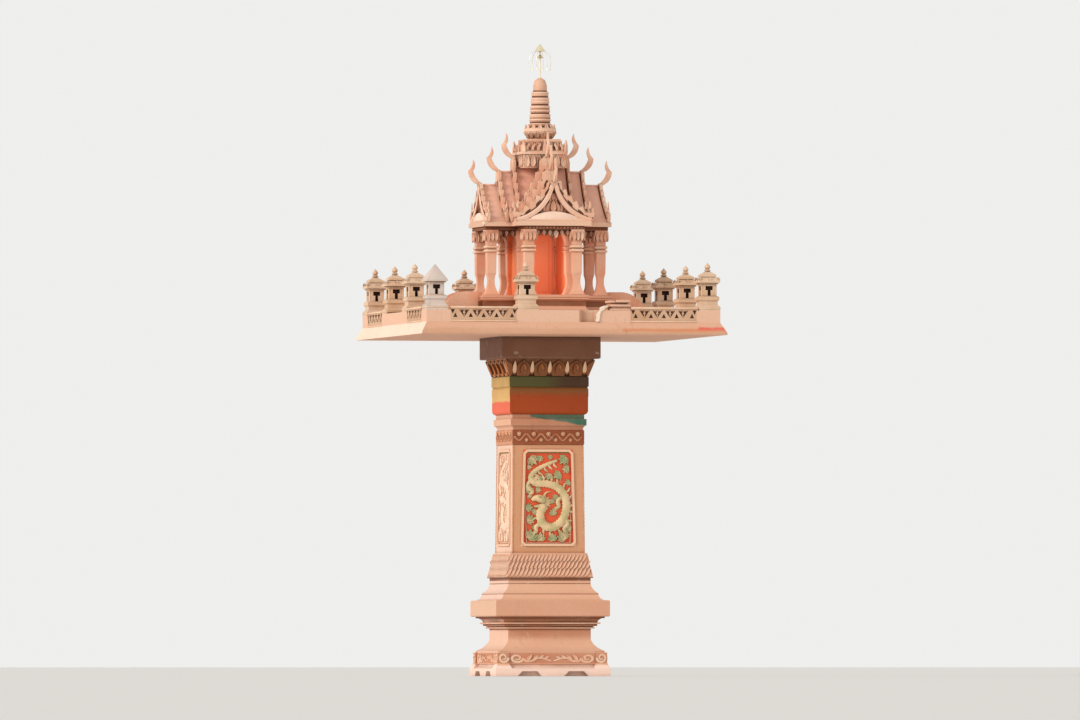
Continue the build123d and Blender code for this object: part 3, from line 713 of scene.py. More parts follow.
@dataclass(frozen=True)
class Finish:
    """One weathered paint finish.

    Attributes:
        name: the material's name.
        colour: the paint.
        faded: the paint where the sun took it.
        bare: what shows where it is rubbed off.
        grime: the colour of soiling, and of painted shade in the corners.
        patch_size: how fine the patches are.
        wear: how much is rubbed off, 0 to 1.
        dirt: how much soiling, painted shade in the corners and dust there is, 0 to 1.
        drips: how strong the rain marks are.
        roughness: least roughness.
        bump: height of the grain, in metres.
        metallic: 1 for bare metal.
        tints: second paints on parts of the piece.
    """

    name: str
    colour: Colour
    faded: Colour
    bare: Colour = paint(214, 200, 182)
    grime: Colour = paint(96, 70, 56)
    patch_size: float = 5.0
    wear: float = 0.5
    dirt: float = 0.6
    drips: float = 0.15
    roughness: float = 0.62
    bump: float = 0.0012
    metallic: float = 0.0
    tints: Tuple[Tint, ...] = ()

    def material(self, shop: PaintShop) -> bpy.types.Material:
        """Build the finish's material.

        Args:
            shop: where the shared groups are.

        Returns:
            The material.
        """
        made = bpy.data.materials.new(self.name)
        sheet = NodeSheet.fresh(made)
        place = sheet.node("ShaderNodeTexCoord").outputs["Object"]
        colour: object = self.colour
        for tint in self.tints:
            colour = tint.over(sheet, place, colour)
        faded = sheet.mix(0.14, colour, self.faded) if self.tints else self.faded
        weather = sheet.node("ShaderNodeGroup", {
            "Place": place, "Paint": colour, "Faded": faded, "Bare": self.bare, "Grime": self.grime,
            "Patch size": self.patch_size, "Wear": self.wear, "Dirt": self.dirt,
        }, node_tree=shop.groups[EffectGroup.WEATHERING]).outputs
        drips = sheet.node("ShaderNodeGroup", {"Place": place, "Amount": self.drips},
                           node_tree=shop.groups[EffectGroup.BANDED_DRIPS])
        washed = sheet.mix(drips.outputs["Mask"], weather["Color"], self.grime)
        bump = sheet.node(
            "ShaderNodeBump", {"Height": weather["Height"], "Distance": self.bump, "Strength": 0.7}
        )
        sheet.matt(washed, sheet.plus(weather["Dull"], self.roughness - 0.1), Normal=bump.outputs["Normal"],
                   Metallic=self.metallic, Specular_IOR_Level=0.22)
        return made


TERRACOTTA = paint(232, 181, 150)
TERRACOTTA_PALE = paint(241, 204, 179)
TEAL = paint(10, 108, 86)
# Painted shade in recesses and under steps.
GROOVE_SHADE = paint(146, 94, 66)


def painted_light_on_left(*colour: int) -> Tint:
    """Painted light and shade: a lighter or darker second paint on the faces that look to the left, towards
    the main lamp.
    """
    return Tint(paint(*colour), facing=TO_LEFT)


def above(height: float, *colour: int, **edge: float) -> Tint:
    """A second paint above a height."""
    return Tint(paint(*colour), low=(-FAR, -FAR, height), **edge)


def below(height: float, *colour: int, **edge: float) -> Tint:
    """A second paint below a height."""
    return Tint(paint(*colour), high=(FAR, FAR, height), **edge)


def grooves(*spans: FlatPoint) -> Tuple[Tint, ...]:
    """Painted shade: dark lines that run round a piece, where its recesses and steps lie in shadow.

    Args:
        spans: lowest and highest place of each line.

    Returns:
        A tint for each line.
    """
    return tuple(
        Tint(GROOVE_SHADE, low=(-FAR, -FAR, low), high=(FAR, FAR, high), ragged=0.0, soft=0.0012)
        for low, high in spans
    )


# Painted sunlight on the faces that look to the left.
PAINTED_SUNLIGHT = painted_light_on_left(243, 208, 184)

# In these finishes the second paints on faces that look to the left are painted light and shade from the main
# lamp, and the dark lines round pieces are painted shade in recesses and under steps.
FINISHES: Dict[str, Finish] = {
    "terracotta": Finish("terracotta_paint", TERRACOTTA, TERRACOTTA_PALE, grime=paint(140, 84, 58)),
    # Neck: darker above 0.158 as painted shade under the belt, dark lines of painted shade at the corbel
    # steps, left faces lighter as painted sunlight.
    "neck": Finish("neck_paint", TERRACOTTA, TERRACOTTA_PALE, grime=paint(130, 78, 52), dirt=0.8,
        tints=(above(0.158, 206, 146, 112, ragged=0.001, soft=0.014), painted_light_on_left(238, 198, 174),
        *grooves((0.1905, 0.1945), (0.207, 0.214), (0.234, 0.245)))),
    "belt": Finish("belt_paint", paint(222, 166, 136), paint(234, 190, 162), grime=paint(140, 84, 58),
        dirt=0.5, tints=(painted_light_on_left(229, 186, 158),)),
    "cyma": Finish("cyma_paint", TERRACOTTA, TERRACOTTA_PALE, grime=paint(140, 84, 58),
        tints=(painted_light_on_left(240, 206, 188), *grooves((0.3365, 0.3395), (0.379, 0.3825), (0.3925, 0.409)))),
    "skirt": Finish("skirt_paint", paint(226, 172, 140), paint(236, 192, 164), grime=paint(160, 104, 74),
        dirt=0.35, tints=(PAINTED_SUNLIGHT,)),
    "skirt_leaf": Finish("skirt_leaf_paint", paint(240, 190, 160), paint(246, 206, 180),
        grime=paint(170, 112, 80), dirt=0.35, patch_size=12.0, tints=(PAINTED_SUNLIGHT,)),
    # Architrave and valances: dark as painted shade under the eave.
    "lintel": Finish("lintel_painted_shade", paint(128, 80, 56), paint(146, 96, 68), grime=paint(70, 38, 26),
        patch_size=12.0, dirt=0.9),
    "eave": Finish("eave_paint", paint(240, 198, 170), paint(246, 210, 186), grime=paint(136, 80, 56),
        patch_size=10.0, dirt=0.5, tints=(painted_light_on_left(226, 182, 154),)),
    "garland": Finish("garland_paint", paint(184, 112, 76), paint(200, 134, 96), grime=paint(100, 54, 34),
        patch_size=20.0, dirt=0.9),
    "rings": Finish("ring_paint", paint(226, 178, 150), paint(238, 196, 172), grime=paint(130, 80, 56),
        patch_size=12.0, tints=grooves((2.265, 2.2725), (2.282, 2.290), (2.3015, 2.3060), (2.320, 2.328),
        (2.3395, 2.3440), (2.355, 2.363), (2.388, 2.396), (2.412, 2.419))),
    "post": Finish("post_paint", paint(232, 168, 136), paint(240, 190, 160), grime=paint(136, 80, 56),
        dirt=0.7, tints=(Tint(paint(240, 136, 90), low=(-0.118, -0.07, -FAR), high=(0.118, 0.118, FAR),
        ragged=0.0),)),
    # Apron: the band is a darker paint, the foot pad below 0.045 is lighter as painted sunlight, and left
    # faces are lighter as painted sunlight.
    "apron": Finish("apron_paint", TERRACOTTA, TERRACOTTA_PALE, grime=paint(140, 84, 58), dirt=0.5,
        tints=(painted_light_on_left(242, 204, 184), Tint(paint(204, 138, 106), low=(-FAR, -FAR, 0.0515),
        high=(FAR, FAR, 0.0955), ragged=0.0), below(0.045, 252, 222, 206, ragged=0.003))),
    # Roof: slopes that look to the right are lighter as painted light.
    "roof": Finish("roof_paint", paint(236, 184, 160), paint(244, 202, 182), grime=paint(150, 96, 76),
        wear=0.3, drips=0.2, tints=(Tint(paint(252, 214, 196), facing=TO_RIGHT),)),
    "gable": Finish("gable_paint", paint(234, 178, 148), paint(246, 206, 178), grime=paint(120, 72, 48),
        patch_size=14.0, wear=0.7, dirt=1.0),
    # Mound: its pale paint lightened further as painted sunlight.
    "mound": Finish("mound_paint_and_sunlight", paint(250, 214, 190), paint(252, 222, 202), grime=paint(160, 106, 78),
        patch_size=10.0, wear=0.4, dirt=0.5),
    "arch": Finish("arch_paint", paint(242, 194, 166), paint(248, 208, 184), grime=paint(150, 96, 70),
        patch_size=10.0, wear=0.5, dirt=0.6),
    "carving": Finish("carved_ground", paint(208, 146, 112), paint(222, 168, 134), grime=paint(120, 66, 42),
        patch_size=12.0, dirt=1.0),
    "leaf": Finish("carved_leaf", paint(236, 186, 154), paint(244, 208, 180), grime=paint(140, 84, 56),
        patch_size=14.0, dirt=0.9),
    "band": Finish("band_paint", paint(154, 84, 52), paint(174, 102, 66), grime=paint(84, 44, 28),
        patch_size=16.0, dirt=1.0, wear=0.5, tints=(painted_light_on_left(222, 160, 124),)),
    "stud": Finish("stud_paint", paint(240, 196, 162), paint(246, 212, 186), grime=paint(150, 84, 54),
        patch_size=30.0, wear=0.4),
    "bead": Finish("bead_paint", paint(228, 172, 132), paint(238, 192, 154), grime=paint(120, 62, 38),
        patch_size=30.0, wear=0.4, dirt=0.9),
    "shaft": Finish("shaft_paint", paint(216, 160, 120), paint(226, 176, 140), grime=paint(130, 78, 48),
        patch_size=7.0, dirt=0.8, drips=0.3, tints=(PAINTED_SUNLIGHT,)),
    "panel": Finish("panel_ground", paint(232, 94, 56), paint(238, 120, 82), grime=paint(130, 50, 30),
        patch_size=9.0, dirt=0.6, wear=0.3, roughness=0.55, tints=(Tint(paint(244, 204, 170),
        high=(FAR, -0.1505, FAR), ragged=0.0),)),
    "panel_frame": Finish("panel_frame_paint", paint(236, 192, 156), paint(242, 208, 178),
        grime=paint(140, 80, 52), dirt=0.8, tints=(above(0.914, 150, 166, 96, ragged=0.002),)),
    "relief": Finish("relief_cream", paint(234, 204, 160), paint(202, 188, 136), grime=paint(140, 84, 48),
        patch_size=34.0, dirt=1.0, wear=0.3, roughness=0.55),
    "tuft": Finish("relief_green", paint(166, 178, 128), paint(222, 196, 150), grime=paint(110, 84, 48),
        patch_size=38.0, dirt=1.0, wear=0.3, roughness=0.55),
    "side_relief": Finish("relief_side", paint(246, 212, 184), paint(248, 220, 196),
        grime=paint(190, 134, 100), patch_size=14.0, dirt=0.5, wear=0.4),
    "side_ground": Finish("side_panel_ground", paint(240, 196, 166), paint(244, 208, 180),
        grime=paint(180, 122, 90), patch_size=9.0, dirt=0.5),
    # Cushion: the red is darkened as painted shade under the tray, darker still above 1.162; its left faces
    # are lighter as painted sunlight, with yellow paint at the top.
    "cushion": Finish("red_paint", paint(174, 74, 28), paint(188, 88, 38), bare=paint(206, 120, 72),
        grime=paint(84, 34, 16), patch_size=6.0, wear=0.3, dirt=0.6, roughness=0.5,
        tints=(above(1.162, 140, 92, 48, ragged=0.002, soft=0.016), painted_light_on_left(250, 112, 76),
        above(1.130, 242, 198, 118, facing=TO_LEFT, ragged=0.003, soft=0.005))),
    # Collar: its front faces are darker as painted shade under the tray; the teal strips are paint.
    "collar": Finish("collar_paint", TERRACOTTA, TERRACOTTA_PALE, grime=paint(140, 84, 58),
        tints=(Tint(paint(196, 132, 98), facing=TO_FRONT), Tint(TEAL, low=(-0.075, -FAR, 1.056),
        facing=TO_FRONT, lean=0.16, ragged=0.003, soft=0.004), Tint(TEAL, low=(-FAR, -FAR, 1.046),
        facing=TO_RIGHT))),
    # Fillet: olive as painted shade under the tray, and darker towards the right; its left faces are lighter
    # and yellow as painted sunlight.
    "fillet": Finish("green_paint", paint(92, 92, 50), paint(104, 96, 56), bare=paint(150, 120, 84),
        grime=paint(44, 36, 22), patch_size=9.0, dirt=0.9, roughness=0.55, tints=(Tint(paint(84, 60, 42),
        low=(0.02, -FAR, -FAR), ragged=0.004, soft=0.07), painted_light_on_left(236, 194, 116))),
    # Petals: darkened as painted shade under the tray; their left faces are lighter as painted sunlight.
    "petal": Finish("lotus_paint", paint(146, 92, 56), paint(160, 102, 62), bare=paint(206, 150, 106),
        grime=paint(64, 36, 20), patch_size=12.0, wear=0.5, dirt=1.0, roughness=0.55,
        tints=(painted_light_on_left(222, 136, 74),)),
    "petal_tip": Finish("petal_tip_paint", paint(246, 206, 168), paint(248, 216, 184),
        grime=paint(150, 90, 56), patch_size=20.0, wear=0.3, dirt=0.6,
        tints=(below(1.251, 180, 112, 66, ragged=0.003),)),
    # Top slab of the capital: dark as painted shade under the tray.
    "slab": Finish("slab_painted_shade", paint(126, 88, 68), paint(138, 98, 76), grime=paint(60, 40, 30), drips=0.2,
        dirt=0.9),
    # Tray: the lower front is darker as painted shade, the left faces lighter as painted sunlight; the orange
    # and red streaks are stains.
    "tray": Finish("tray_paint", paint(226, 176, 146), paint(236, 194, 168), bare=paint(206, 190, 158),
        grime=paint(150, 100, 72), drips=0.3, wear=0.6, patch_size=7.0,
        tints=(below(1.420, 214, 164, 132, facing=TO_FRONT, ragged=0.003, soft=0.008), painted_light_on_left(255, 226, 204),
        Tint(paint(218, 140, 98), low=(0.20, -FAR, 1.410), high=(FAR, -0.585, 1.420), ragged=0.002,
        soft=0.006), Tint(paint(230, 104, 86), low=(0.52, -FAR, 1.416), high=(FAR, -0.585, 1.428),
        ragged=0.002, soft=0.004))),
    # Deck: dark behind the fences as painted shade in the gap there.
    "deck": Finish("deck_paint", paint(236, 190, 162), paint(240, 204, 180), bare=paint(214, 198, 168),
        grime=paint(160, 110, 78), drips=0.3, wear=0.6, patch_size=8.0, tints=(Tint(paint(88, 54, 38),
        low=(-0.5715, -0.5715, -FAR), high=(0.5715, 0.5715, 1.4945), ragged=0.0), Tint(paint(208, 160, 130),
        low=(0.022, -0.62, 1.44), high=(0.108, -0.59, 1.4955), ragged=0.001))),
    "fence": Finish("fence_paint", paint(206, 160, 126), paint(218, 178, 146), grime=paint(92, 56, 36),
        patch_size=12.0, dirt=1.0),
    "cream": Finish("cream_paint", paint(232, 200, 172), paint(222, 184, 150), bare=paint(206, 190, 166),
        grime=paint(110, 74, 52), patch_size=10.0, dirt=1.0, drips=0.3, wear=0.5),
    "grey": Finish("grey_cement", paint(224, 206, 194), paint(208, 194, 184), bare=paint(176, 168, 160),
        grime=paint(98, 88, 80), patch_size=12.0, dirt=0.9, drips=0.3, wear=0.6, roughness=0.75),
    "orange": Finish("orange_paint", paint(236, 132, 86), paint(240, 142, 98), grime=paint(190, 84, 52),
        patch_size=4.0, dirt=0.3, wear=0.1, drips=0.05, roughness=0.55),
    "field": Finish("orange_field", paint(242, 140, 94), paint(246, 150, 106), grime=paint(200, 92, 60),
        patch_size=4.0, dirt=0.25, wear=0.1, drips=0.05, roughness=0.55),
    # Painted shade: a dark paint for flat pieces that stand for hollows and recesses in shadow.
    "slit_shade": Finish("painted_slit_shade", paint(90, 52, 34), paint(104, 62, 42), grime=paint(56, 32, 20),
        patch_size=14.0, dirt=0.6, wear=0.1, drips=0.0, roughness=0.85),
    "niche": Finish("niche_shade", paint(62, 42, 32), paint(76, 52, 40), bare=paint(120, 92, 72),
        grime=paint(30, 20, 15), patch_size=20.0, dirt=0.8, wear=0.2, drips=0.0, roughness=0.9),
    "shrine": Finish("shrine_paint", paint(238, 176, 144), paint(242, 196, 168), grime=paint(136, 80, 56),
        patch_size=8.0, dirt=0.9),
    # Shrine base: the recessed band at 1.52 to 1.54 is dark as painted shade, with dark lines of painted
    # shade in its mouldings.
    "base": Finish("base_paint", paint(230, 172, 142), paint(238, 192, 166), grime=paint(130, 76, 52),
        patch_size=8.0, dirt=0.9, tints=(Tint(paint(140, 86, 58), low=(-FAR, -FAR, 1.5215),
        high=(FAR, FAR, 1.5445), ragged=0.0), *grooves((1.503, 1.506), (1.5555, 1.5580)))),
    "stub": Finish("stub_paint", paint(234, 184, 156), paint(242, 202, 178), grime=paint(140, 92, 66),
        patch_size=16.0, dirt=1.0, wear=0.8, tints=grooves((1.522, 1.527), (1.504, 1.508))),
    "chip": Finish("broken_plaster", paint(246, 228, 206), paint(236, 212, 188), bare=paint(220, 206, 190),
        grime=paint(150, 120, 96), patch_size=24.0, wear=0.8, dirt=0.6, roughness=0.8, bump=0.003),
    "gilt": Finish("gilt_metal", paint(238, 226, 192), paint(228, 214, 180), bare=paint(170, 152, 116),
        grime=paint(110, 96, 66), patch_size=30.0, wear=0.5, dirt=0.5, drips=0.0, roughness=0.45, bump=0.0003,
        metallic=1.0),
}


class House:
    """The whole object: its materials, and the ways its pieces are dressed and handed over."""

    def __init__(self) -> None:
        """Build every finish."""
        shop = PaintShop()
        self.finishes = {key: finish.material(shop) for key, finish in FINISHES.items()}
        self.dressed: List[str] = []

    def coat(self, piece: Piece, finish: str) -> None:
        """Give a piece one material."""
        piece.data.materials.clear()
        piece.data.materials.append(self.finishes[finish])

    def dress(self, **finishes: str) -> None:
        """Give solids of the frame their finish.

        Args:
            finishes: for each finish's key, the solids' names with spaces between them.
        """
        for finish, names in finishes.items():
            for name in names.split():
                self.coat(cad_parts[name], finish)
                self.dressed.append(name)
                LOG.info("dressed %s in %s", name, finish)

    def add(self, name: str, piece: Piece, finish: str, slot: str = "terracotta_paint") -> Piece:
        """Finish a new piece and let it ride with the house.

        Args:
            name: the piece's name.
            piece: the modelled piece.
            finish: the finish's key.
            slot: not used.

        Returns:
            The piece.
        """
        piece.name = name
        Bench.pick(piece)
        bpy.ops.object.shade_smooth_by_angle(angle=SHARP_EDGE)
        self.coat(piece, finish)
        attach(piece, "root")
        LOG.info("added %s, %d faces", piece.name, len(piece.data.polygons))
        return piece


@dataclass
class Ornament:
    """Small carved forms that several sub-assemblies use, each modelled in the front plane.

    Attributes:
        relief: thickness of a carved form front to back, as a share of its width.
    """

    relief: float = 0.6

    def flame(self, height: float, width: float) -> Piece:
        """A carved flame that leans and curls to its tip, rooted at the origin.

        Args:
            height: from root to tip.
            width: across the belly.

        Returns:
            The flame.
        """
        bends = [(0.0, 0.0), (0.10, 0.25), (0.02, 0.55), (-0.16, 0.8), (-0.10, 1.0)]
        path = curve_through([(x * height, z * height) for x, z in bends], 3)
        return Bench.stem(path, swell(len(path), width / 2, width * 0.06, 0.25), 6, self.relief)

    def leaf(self, height: float, width: float) -> Piece:
        """An upright leaf with a pressed midrib, rooted at the origin.

        Args:
            height: from root to tip.
            width: across the middle.

        Returns:
            The leaf.
        """
        piece = Bench.disc((0, 0, height / 2), height / 2, 10)
        piece.data.transform(shift(0, 0, height / 2) @ stretch(width / height) @ shift(0, 0, -height / 2))
        depth = width * self.relief / 2
        Bench.edit(piece)
        Bench.draw_out(0, -depth, 0)
        Bench.inset((width * 0.14, 0), (width * 0.16, -depth * 0.4))
        Bench.clear()
        for corner in piece.data.vertices:
            corner.co.x *= 1.0 - 0.55 * max(corner.co.z / height - 0.45, 0.0) / 0.55
        return Bench.outward(piece)

    def scroll(self, size: float, turns: float, thick: float) -> Piece:
        """A C-scroll that winds in on itself, its tail at the origin and its eye to the right.

        Args:
            size: radius of the outer turn.
            turns: how often it winds.
            thick: radius of the stem at the tail.

        Returns:
            The scroll.
        """
        count = int(turns * 14)
        path = []
        for at in range(count + 1):
            share = at / count
            radius = size * (1 - 0.78 * share)
            angle = math.pi + share * turns * 2 * math.pi
            path.append((size + radius * math.cos(angle), radius * math.sin(angle)))
        radii = [thick * (1 - 0.55 * at / count) for at in range(count)] + [thick * 0.9]
        return Bench.stem(path, radii, 6, self.relief)

    def boss(self, radius: float, depth: float) -> Piece:
        """A round boss with a ring and a raised eye, its back on the front plane.

        Args:
            radius: its radius.
            depth: how far it stands out.

        Returns:
            The boss.
        """
        piece = Bench.disc((0, 0, 0), radius, 10)
        Bench.edit(piece)
        Bench.draw_out(0, -depth * 0.55, 0)
        Bench.inset((radius * 0.28, 0), (radius * 0.1, -depth * 0.25), (radius * 0.1, depth * 0.5),
                    (radius * 0.2, depth * 0.2))
        return Bench.outward(piece)


@dataclass
class Assembly:
    """What every sub-assembly works with.

    Attributes:
        house: the whole that it belongs to.
        ornament: the carved forms.
    """

    house: House
    ornament: Ornament


@dataclass
class Pedestal(Assembly):
    """Foot, neck, belt and skirt, with the carving on the apron and the skirt.

    Attributes:
        apron_middle: height of the middle of the apron band.
        apron_front: how far the apron's face stands from the axis.
        bracket_front: how far the corner brackets' faces do.
        scroll_size: radius of the apron's scrolls.
        skirt_low: height of the lowest leaves' roots.
        skirt_foot: the skirt's half width at its foot.
        skirt_head: the skirt's half width at its head.
        skirt_rise: height of the skirt.
        leaf_lean: how far the leaves lean, in degrees.
        leaves: leaves in each row of each side.
        rows: rows of leaves.
    """

    apron_middle: float = 0.0735
    apron_front: float = 0.225
    bracket_front: float = 0.2305
    scroll_size: float = 0.021
    skirt_low: float = 0.411
    skirt_foot: float = 0.1805
    skirt_head: float = 0.1625
    skirt_rise: float = 0.093
    leaf_lean: float = 30.0
    leaves: int = 20
    rows: int = 3

    def build(self) -> None:
        """Make the carving and dress the solids."""
        self.apron()
        self.skirt_leaves()
        self.neck_fillets()
        self.house.dress(apron="foot", neck="pedestal_neck", belt="belt_slab", cyma="upper_cyma",
                         skirt="carved_skirt")

    def apron(self) -> None:
        """Scrolls at both ends of the apron band, with a run of leaves towards the middle."""
        path = curve_through([(0.124, 0.0), (0.110, -0.012), (0.084, -0.010), (0.058, 0.002),
                              (0.026, -0.004), (0.006, -0.012)], 5)
        face = shift(0, -self.apron_front, self.apron_middle)
        bracket = shift(0.1862, -self.bracket_front, self.apron_middle + 0.002)
        leaves = []
        for step, rise in enumerate((-0.010, -0.008, -0.002, -0.001)):
            lean = spin(-40 - 8 * step) @ grow(1 - 0.12 * step)
            leaves += both(face @ shift(0.108 - 0.025 * step, 0, rise) @ lean)
        self.house.add("apron_carving", Bench.all_round(
            Bench.spread(self.ornament.scroll(self.scroll_size, 1.45, 0.0062),
                         both(face @ shift(0.120, 0, 0) @ stretch(1.40, 1.0, 0.9)) + both(bracket)),
            Bench.spread(Bench.stem(path, swell(len(path), 0.0060, 0.0020, 0.2), 6, 0.6), both(face)),
            Bench.spread(self.ornament.leaf(0.034, 0.015), leaves),
        ), "leaf")

    def skirt_leaves(self) -> None:
        """Staggered rows of fine leaning leaves on the skirt's sloping face."""
        slope = math.atan2(self.skirt_foot - self.skirt_head, self.skirt_rise)
        lean = Matrix.Rotation(-slope, 4, "X") @ spin(self.leaf_lean)
        pitch = (self.skirt_rise - 0.032) / (self.rows - 1)
        places = []
        for row in range(self.rows):
            half = self.skirt_foot + (self.skirt_head - self.skirt_foot) * (row * pitch / self.skirt_rise)
            for at in range(self.leaves):
                across = (at + 0.25 + 0.5 * (row % 2)) / self.leaves * 2 - 1
                root = shift(across * (half - 0.006) - 0.010, -half + 0.001, self.skirt_low + row * pitch)
                places.append(root @ lean @ grow(1 - 0.08 * row))
        leaves = Bench.spread(self.ornament.leaf(0.044, 0.0110), places)
        self.house.add("skirt_leaves", Bench.all_round(leaves), "skirt_leaf")

    def neck_fillets(self) -> None:
        """Two fine fillets round the stepped corbels under the belt."""
        fillets = [Bench.slab(half, low, low + 0.006, 0.0025)
                   for low, half in ((0.2145, 0.2085), (0.1955, 0.1885))]
        self.house.add("neck_fillets", Bench.join(*fillets), "terracotta")


@dataclass
class Shaft(Assembly):
    """The pillar's shaft, its four relief panels, the bead band and the collar.

    Attributes:
        panel_middle: height of the panels' middle.
        ground: how far a panel's ground stands from the axis, at its middle.
        lean: the shaft's taper as a slope.
        body_thick: the creature's greatest radius.
        fins: how many fins it has along its back.
        band_front: how far the bead band stands from the axis.
        upper_beads: height of the band's upper row.
        lower_beads: height of its lower row.
        pitch: distance between beads.
        cord_out: how far the corner cords' feet stand from the axis.
        cord_taper: how much nearer their heads stand.
        cord_low: height of the cords' feet.
        cord_high: height of their heads.
    """

    panel_middle: float = 0.734
    ground: float = 0.1467
    lean: float = 0.0101
    body_thick: float = 0.0200
    fins: int = 24
    band_front: float = 0.152
    upper_beads: float = 0.997
    lower_beads: float = 0.972
    pitch: float = 0.062
    cord_out: float = 0.1515
    cord_taper: float = 0.0045
    cord_low: float = 0.508
    cord_high: float = 0.951

    def build(self) -> None:
        """Make the reliefs, the cords and the beads, and dress the solids."""
        reliefs = (("relief", self.creature(), "relief"), ("relief_tufts", self.tufts(), "tuft"))
        for side in Side:
            for name, model, painted in reliefs:
                finish = painted if side is Side.FRONT else "side_relief"
                self.house.add(f"{name}_{side.word}", Bench.copy(model, side.turn), finish, "panel_paint")
        for _, model, _ in reliefs:
            bpy.data.objects.remove(model)
        self.frames()
        self.beads()
        self.garland()
        self.corner_cords()
        self.house.dress(panel="panel_front", side_ground="panel_right panel_back panel_left", shaft="shaft",
                         band="bead_band", collar="collar")

    def seated(self, piece: Piece, depth: float) -> Piece:
        """Put a piece made round the origin on the leaning ground of the front panel.

        Args:
            piece: the piece.
            depth: how far in front of the ground it goes.

        Returns:
            The piece.
        """
        lean = Matrix.Rotation(-self.lean, 4, "X")
        piece.data.transform(shift(0, -self.ground - depth, self.panel_middle) @ lean)
        return piece

    def creature(self) -> Piece:
        """A generic serpent in low relief: a winding ringed body with fins, legs and a head.

        Returns:
            The creature, on the front panel.
        """
        path = curve_through([
            (0.038, 0.154), (-0.004, 0.138), (-0.050, 0.114), (-0.074, 0.084), (-0.054, 0.060),
            (-0.006, 0.058), (0.040, 0.042), (0.070, 0.006), (0.076, -0.044), (0.058, -0.094),
            (0.016, -0.122), (-0.024, -0.106), (-0.034, -0.064), (-0.014, -0.030),
        ], 7)
        count = len(path)
        radii = []
        for at in range(count):
            swollen = math.sin(min(at / (count - 1) * 1.5, 1.0) * math.pi / 2)
            radii.append((0.006 + (self.body_thick - 0.006) * swollen) * (1.0 if at % 2 else 0.80))
        places = []
        for at in range(self.fins):
            here = 3 + at * (count - 10) // self.fins
            (left, low), (x, z), (right, high) = path[here - 1:here + 2]
            heading = math.atan2(right - left, high - low)
            side = Matrix.Rotation(heading - math.pi / 2, 4, "Y")
            places.append(shift(x, 0, z) @ side @ shift(0, 0, radii[here] * 0.8))
        parts = [Bench.stem(path, radii, 10, 0.45), Bench.spread(self.ornament.flame(0.024, 0.010), places)]
        for points in (
            ((-0.070, 0.078), (-0.088, 0.048), (-0.066, 0.026), (-0.080, 0.012)),
            ((0.062, 0.006), (0.040, -0.012), (0.044, -0.036), (0.026, -0.044)),
            ((0.060, -0.082), (0.082, -0.104), (0.066, -0.128), (0.080, -0.146)),
            ((-0.024, -0.106), (-0.052, -0.118), (-0.052, -0.140), (-0.072, -0.146)),
        ):
            bent = curve_through(points, 4)
            parts.append(Bench.stem(bent, swell(len(bent), 0.010, 0.004, 0.35), 6, 0.7))
            parts.append(self.fan(self.ornament.flame(0.018, 0.006), points[-1], (120, 165, 210)))
        return self.seated(Bench.join(*parts, *self.head()), 0.002)

    @staticmethod
    def fan(model: Piece, root: FlatPoint, angles: Sequence[float]) -> Piece:
        """Copies of a piece that spread from one root at several angles."""
        return Bench.spread(model, [shift(root[0], 0, root[1]) @ spin(angle) for angle in angles])

    def head(self) -> List[Piece]:
        """A plain horned head with open jaws and a mane of flames.

        Returns:
            Its pieces.
        """
        root = (-0.016, -0.020)
        parts = []
        for points, thick, thin, belly, sides, flat in (
            ((root, (-0.030, -0.006), (-0.052, -0.002), (-0.070, -0.010)), 0.017, 0.006, 0.3, 10, 0.8),
            (((-0.020, -0.028), (-0.038, -0.034), (-0.060, -0.036)), 0.009, 0.003, 0.2, 8, 0.8),
            (((-0.022, 0.000), (-0.010, 0.020), (0.010, 0.026)), 0.005, 0.0015, 0.1, 6, 0.9),
        ):
            path = curve_through(points, 4)
            parts.append(Bench.stem(path, swell(len(path), thick, thin, belly), sides, flat))
        eye = self.ornament.boss(0.0045, 0.006)
        eye.data.transform(shift(-0.038, -0.011, 0.004))
        return [*parts, eye, self.fan(self.ornament.flame(0.030, 0.011), root, (20, 48, 76, 104, 132, 160))]

    def tufts(self) -> Piece:
        """Clusters of cloud leaves in the corners and beside the body.

        Returns:
            The clusters, on the front panel.
        """
        clusters = (
            (-0.078, 0.166, 135, 1.2), (-0.036, 0.172, 180, 0.8), (0.010, 0.176, 190, 0.6),
            (0.076, 0.168, 225, 1.15), (0.088, 0.120, 265, 0.95), (0.052, 0.100, 240, 1.05),
            (0.006, 0.100, 200, 0.9), (-0.088, 0.128, 100, 0.6), (-0.036, 0.088, 160, 0.6),
            (0.092, 0.068, 240, 0.75), (-0.094, 0.032, 80, 1.0), (-0.052, 0.034, 100, 0.7),
            (-0.094, -0.042, 85, 0.9), (-0.090, -0.092, 80, 1.05), (-0.066, -0.062, 60, 0.7),
            (-0.086, -0.168, 45, 1.35), (-0.034, -0.178, 0, 1.1), (0.020, -0.178, -10, 1.0),
            (0.072, -0.172, -40, 1.3), (0.096, -0.128, -80, 0.85), (0.020, -0.072, 0, 0.85),
            (0.034, 0.012, 200, 0.7), (0.010, -0.010, 120, 0.6), (-0.060, -0.130, 20, 0.7),
        )
        places = [shift(x, 0, z) @ spin(heading + fanned) @ grow(size * (1 - abs(fanned) / 220))
                  for x, z, heading, size in clusters for fanned in (-56, -28, 0, 28, 56)]
        return self.seated(Bench.spread(self.ornament.leaf(0.034, 0.017), places), 0.0005)

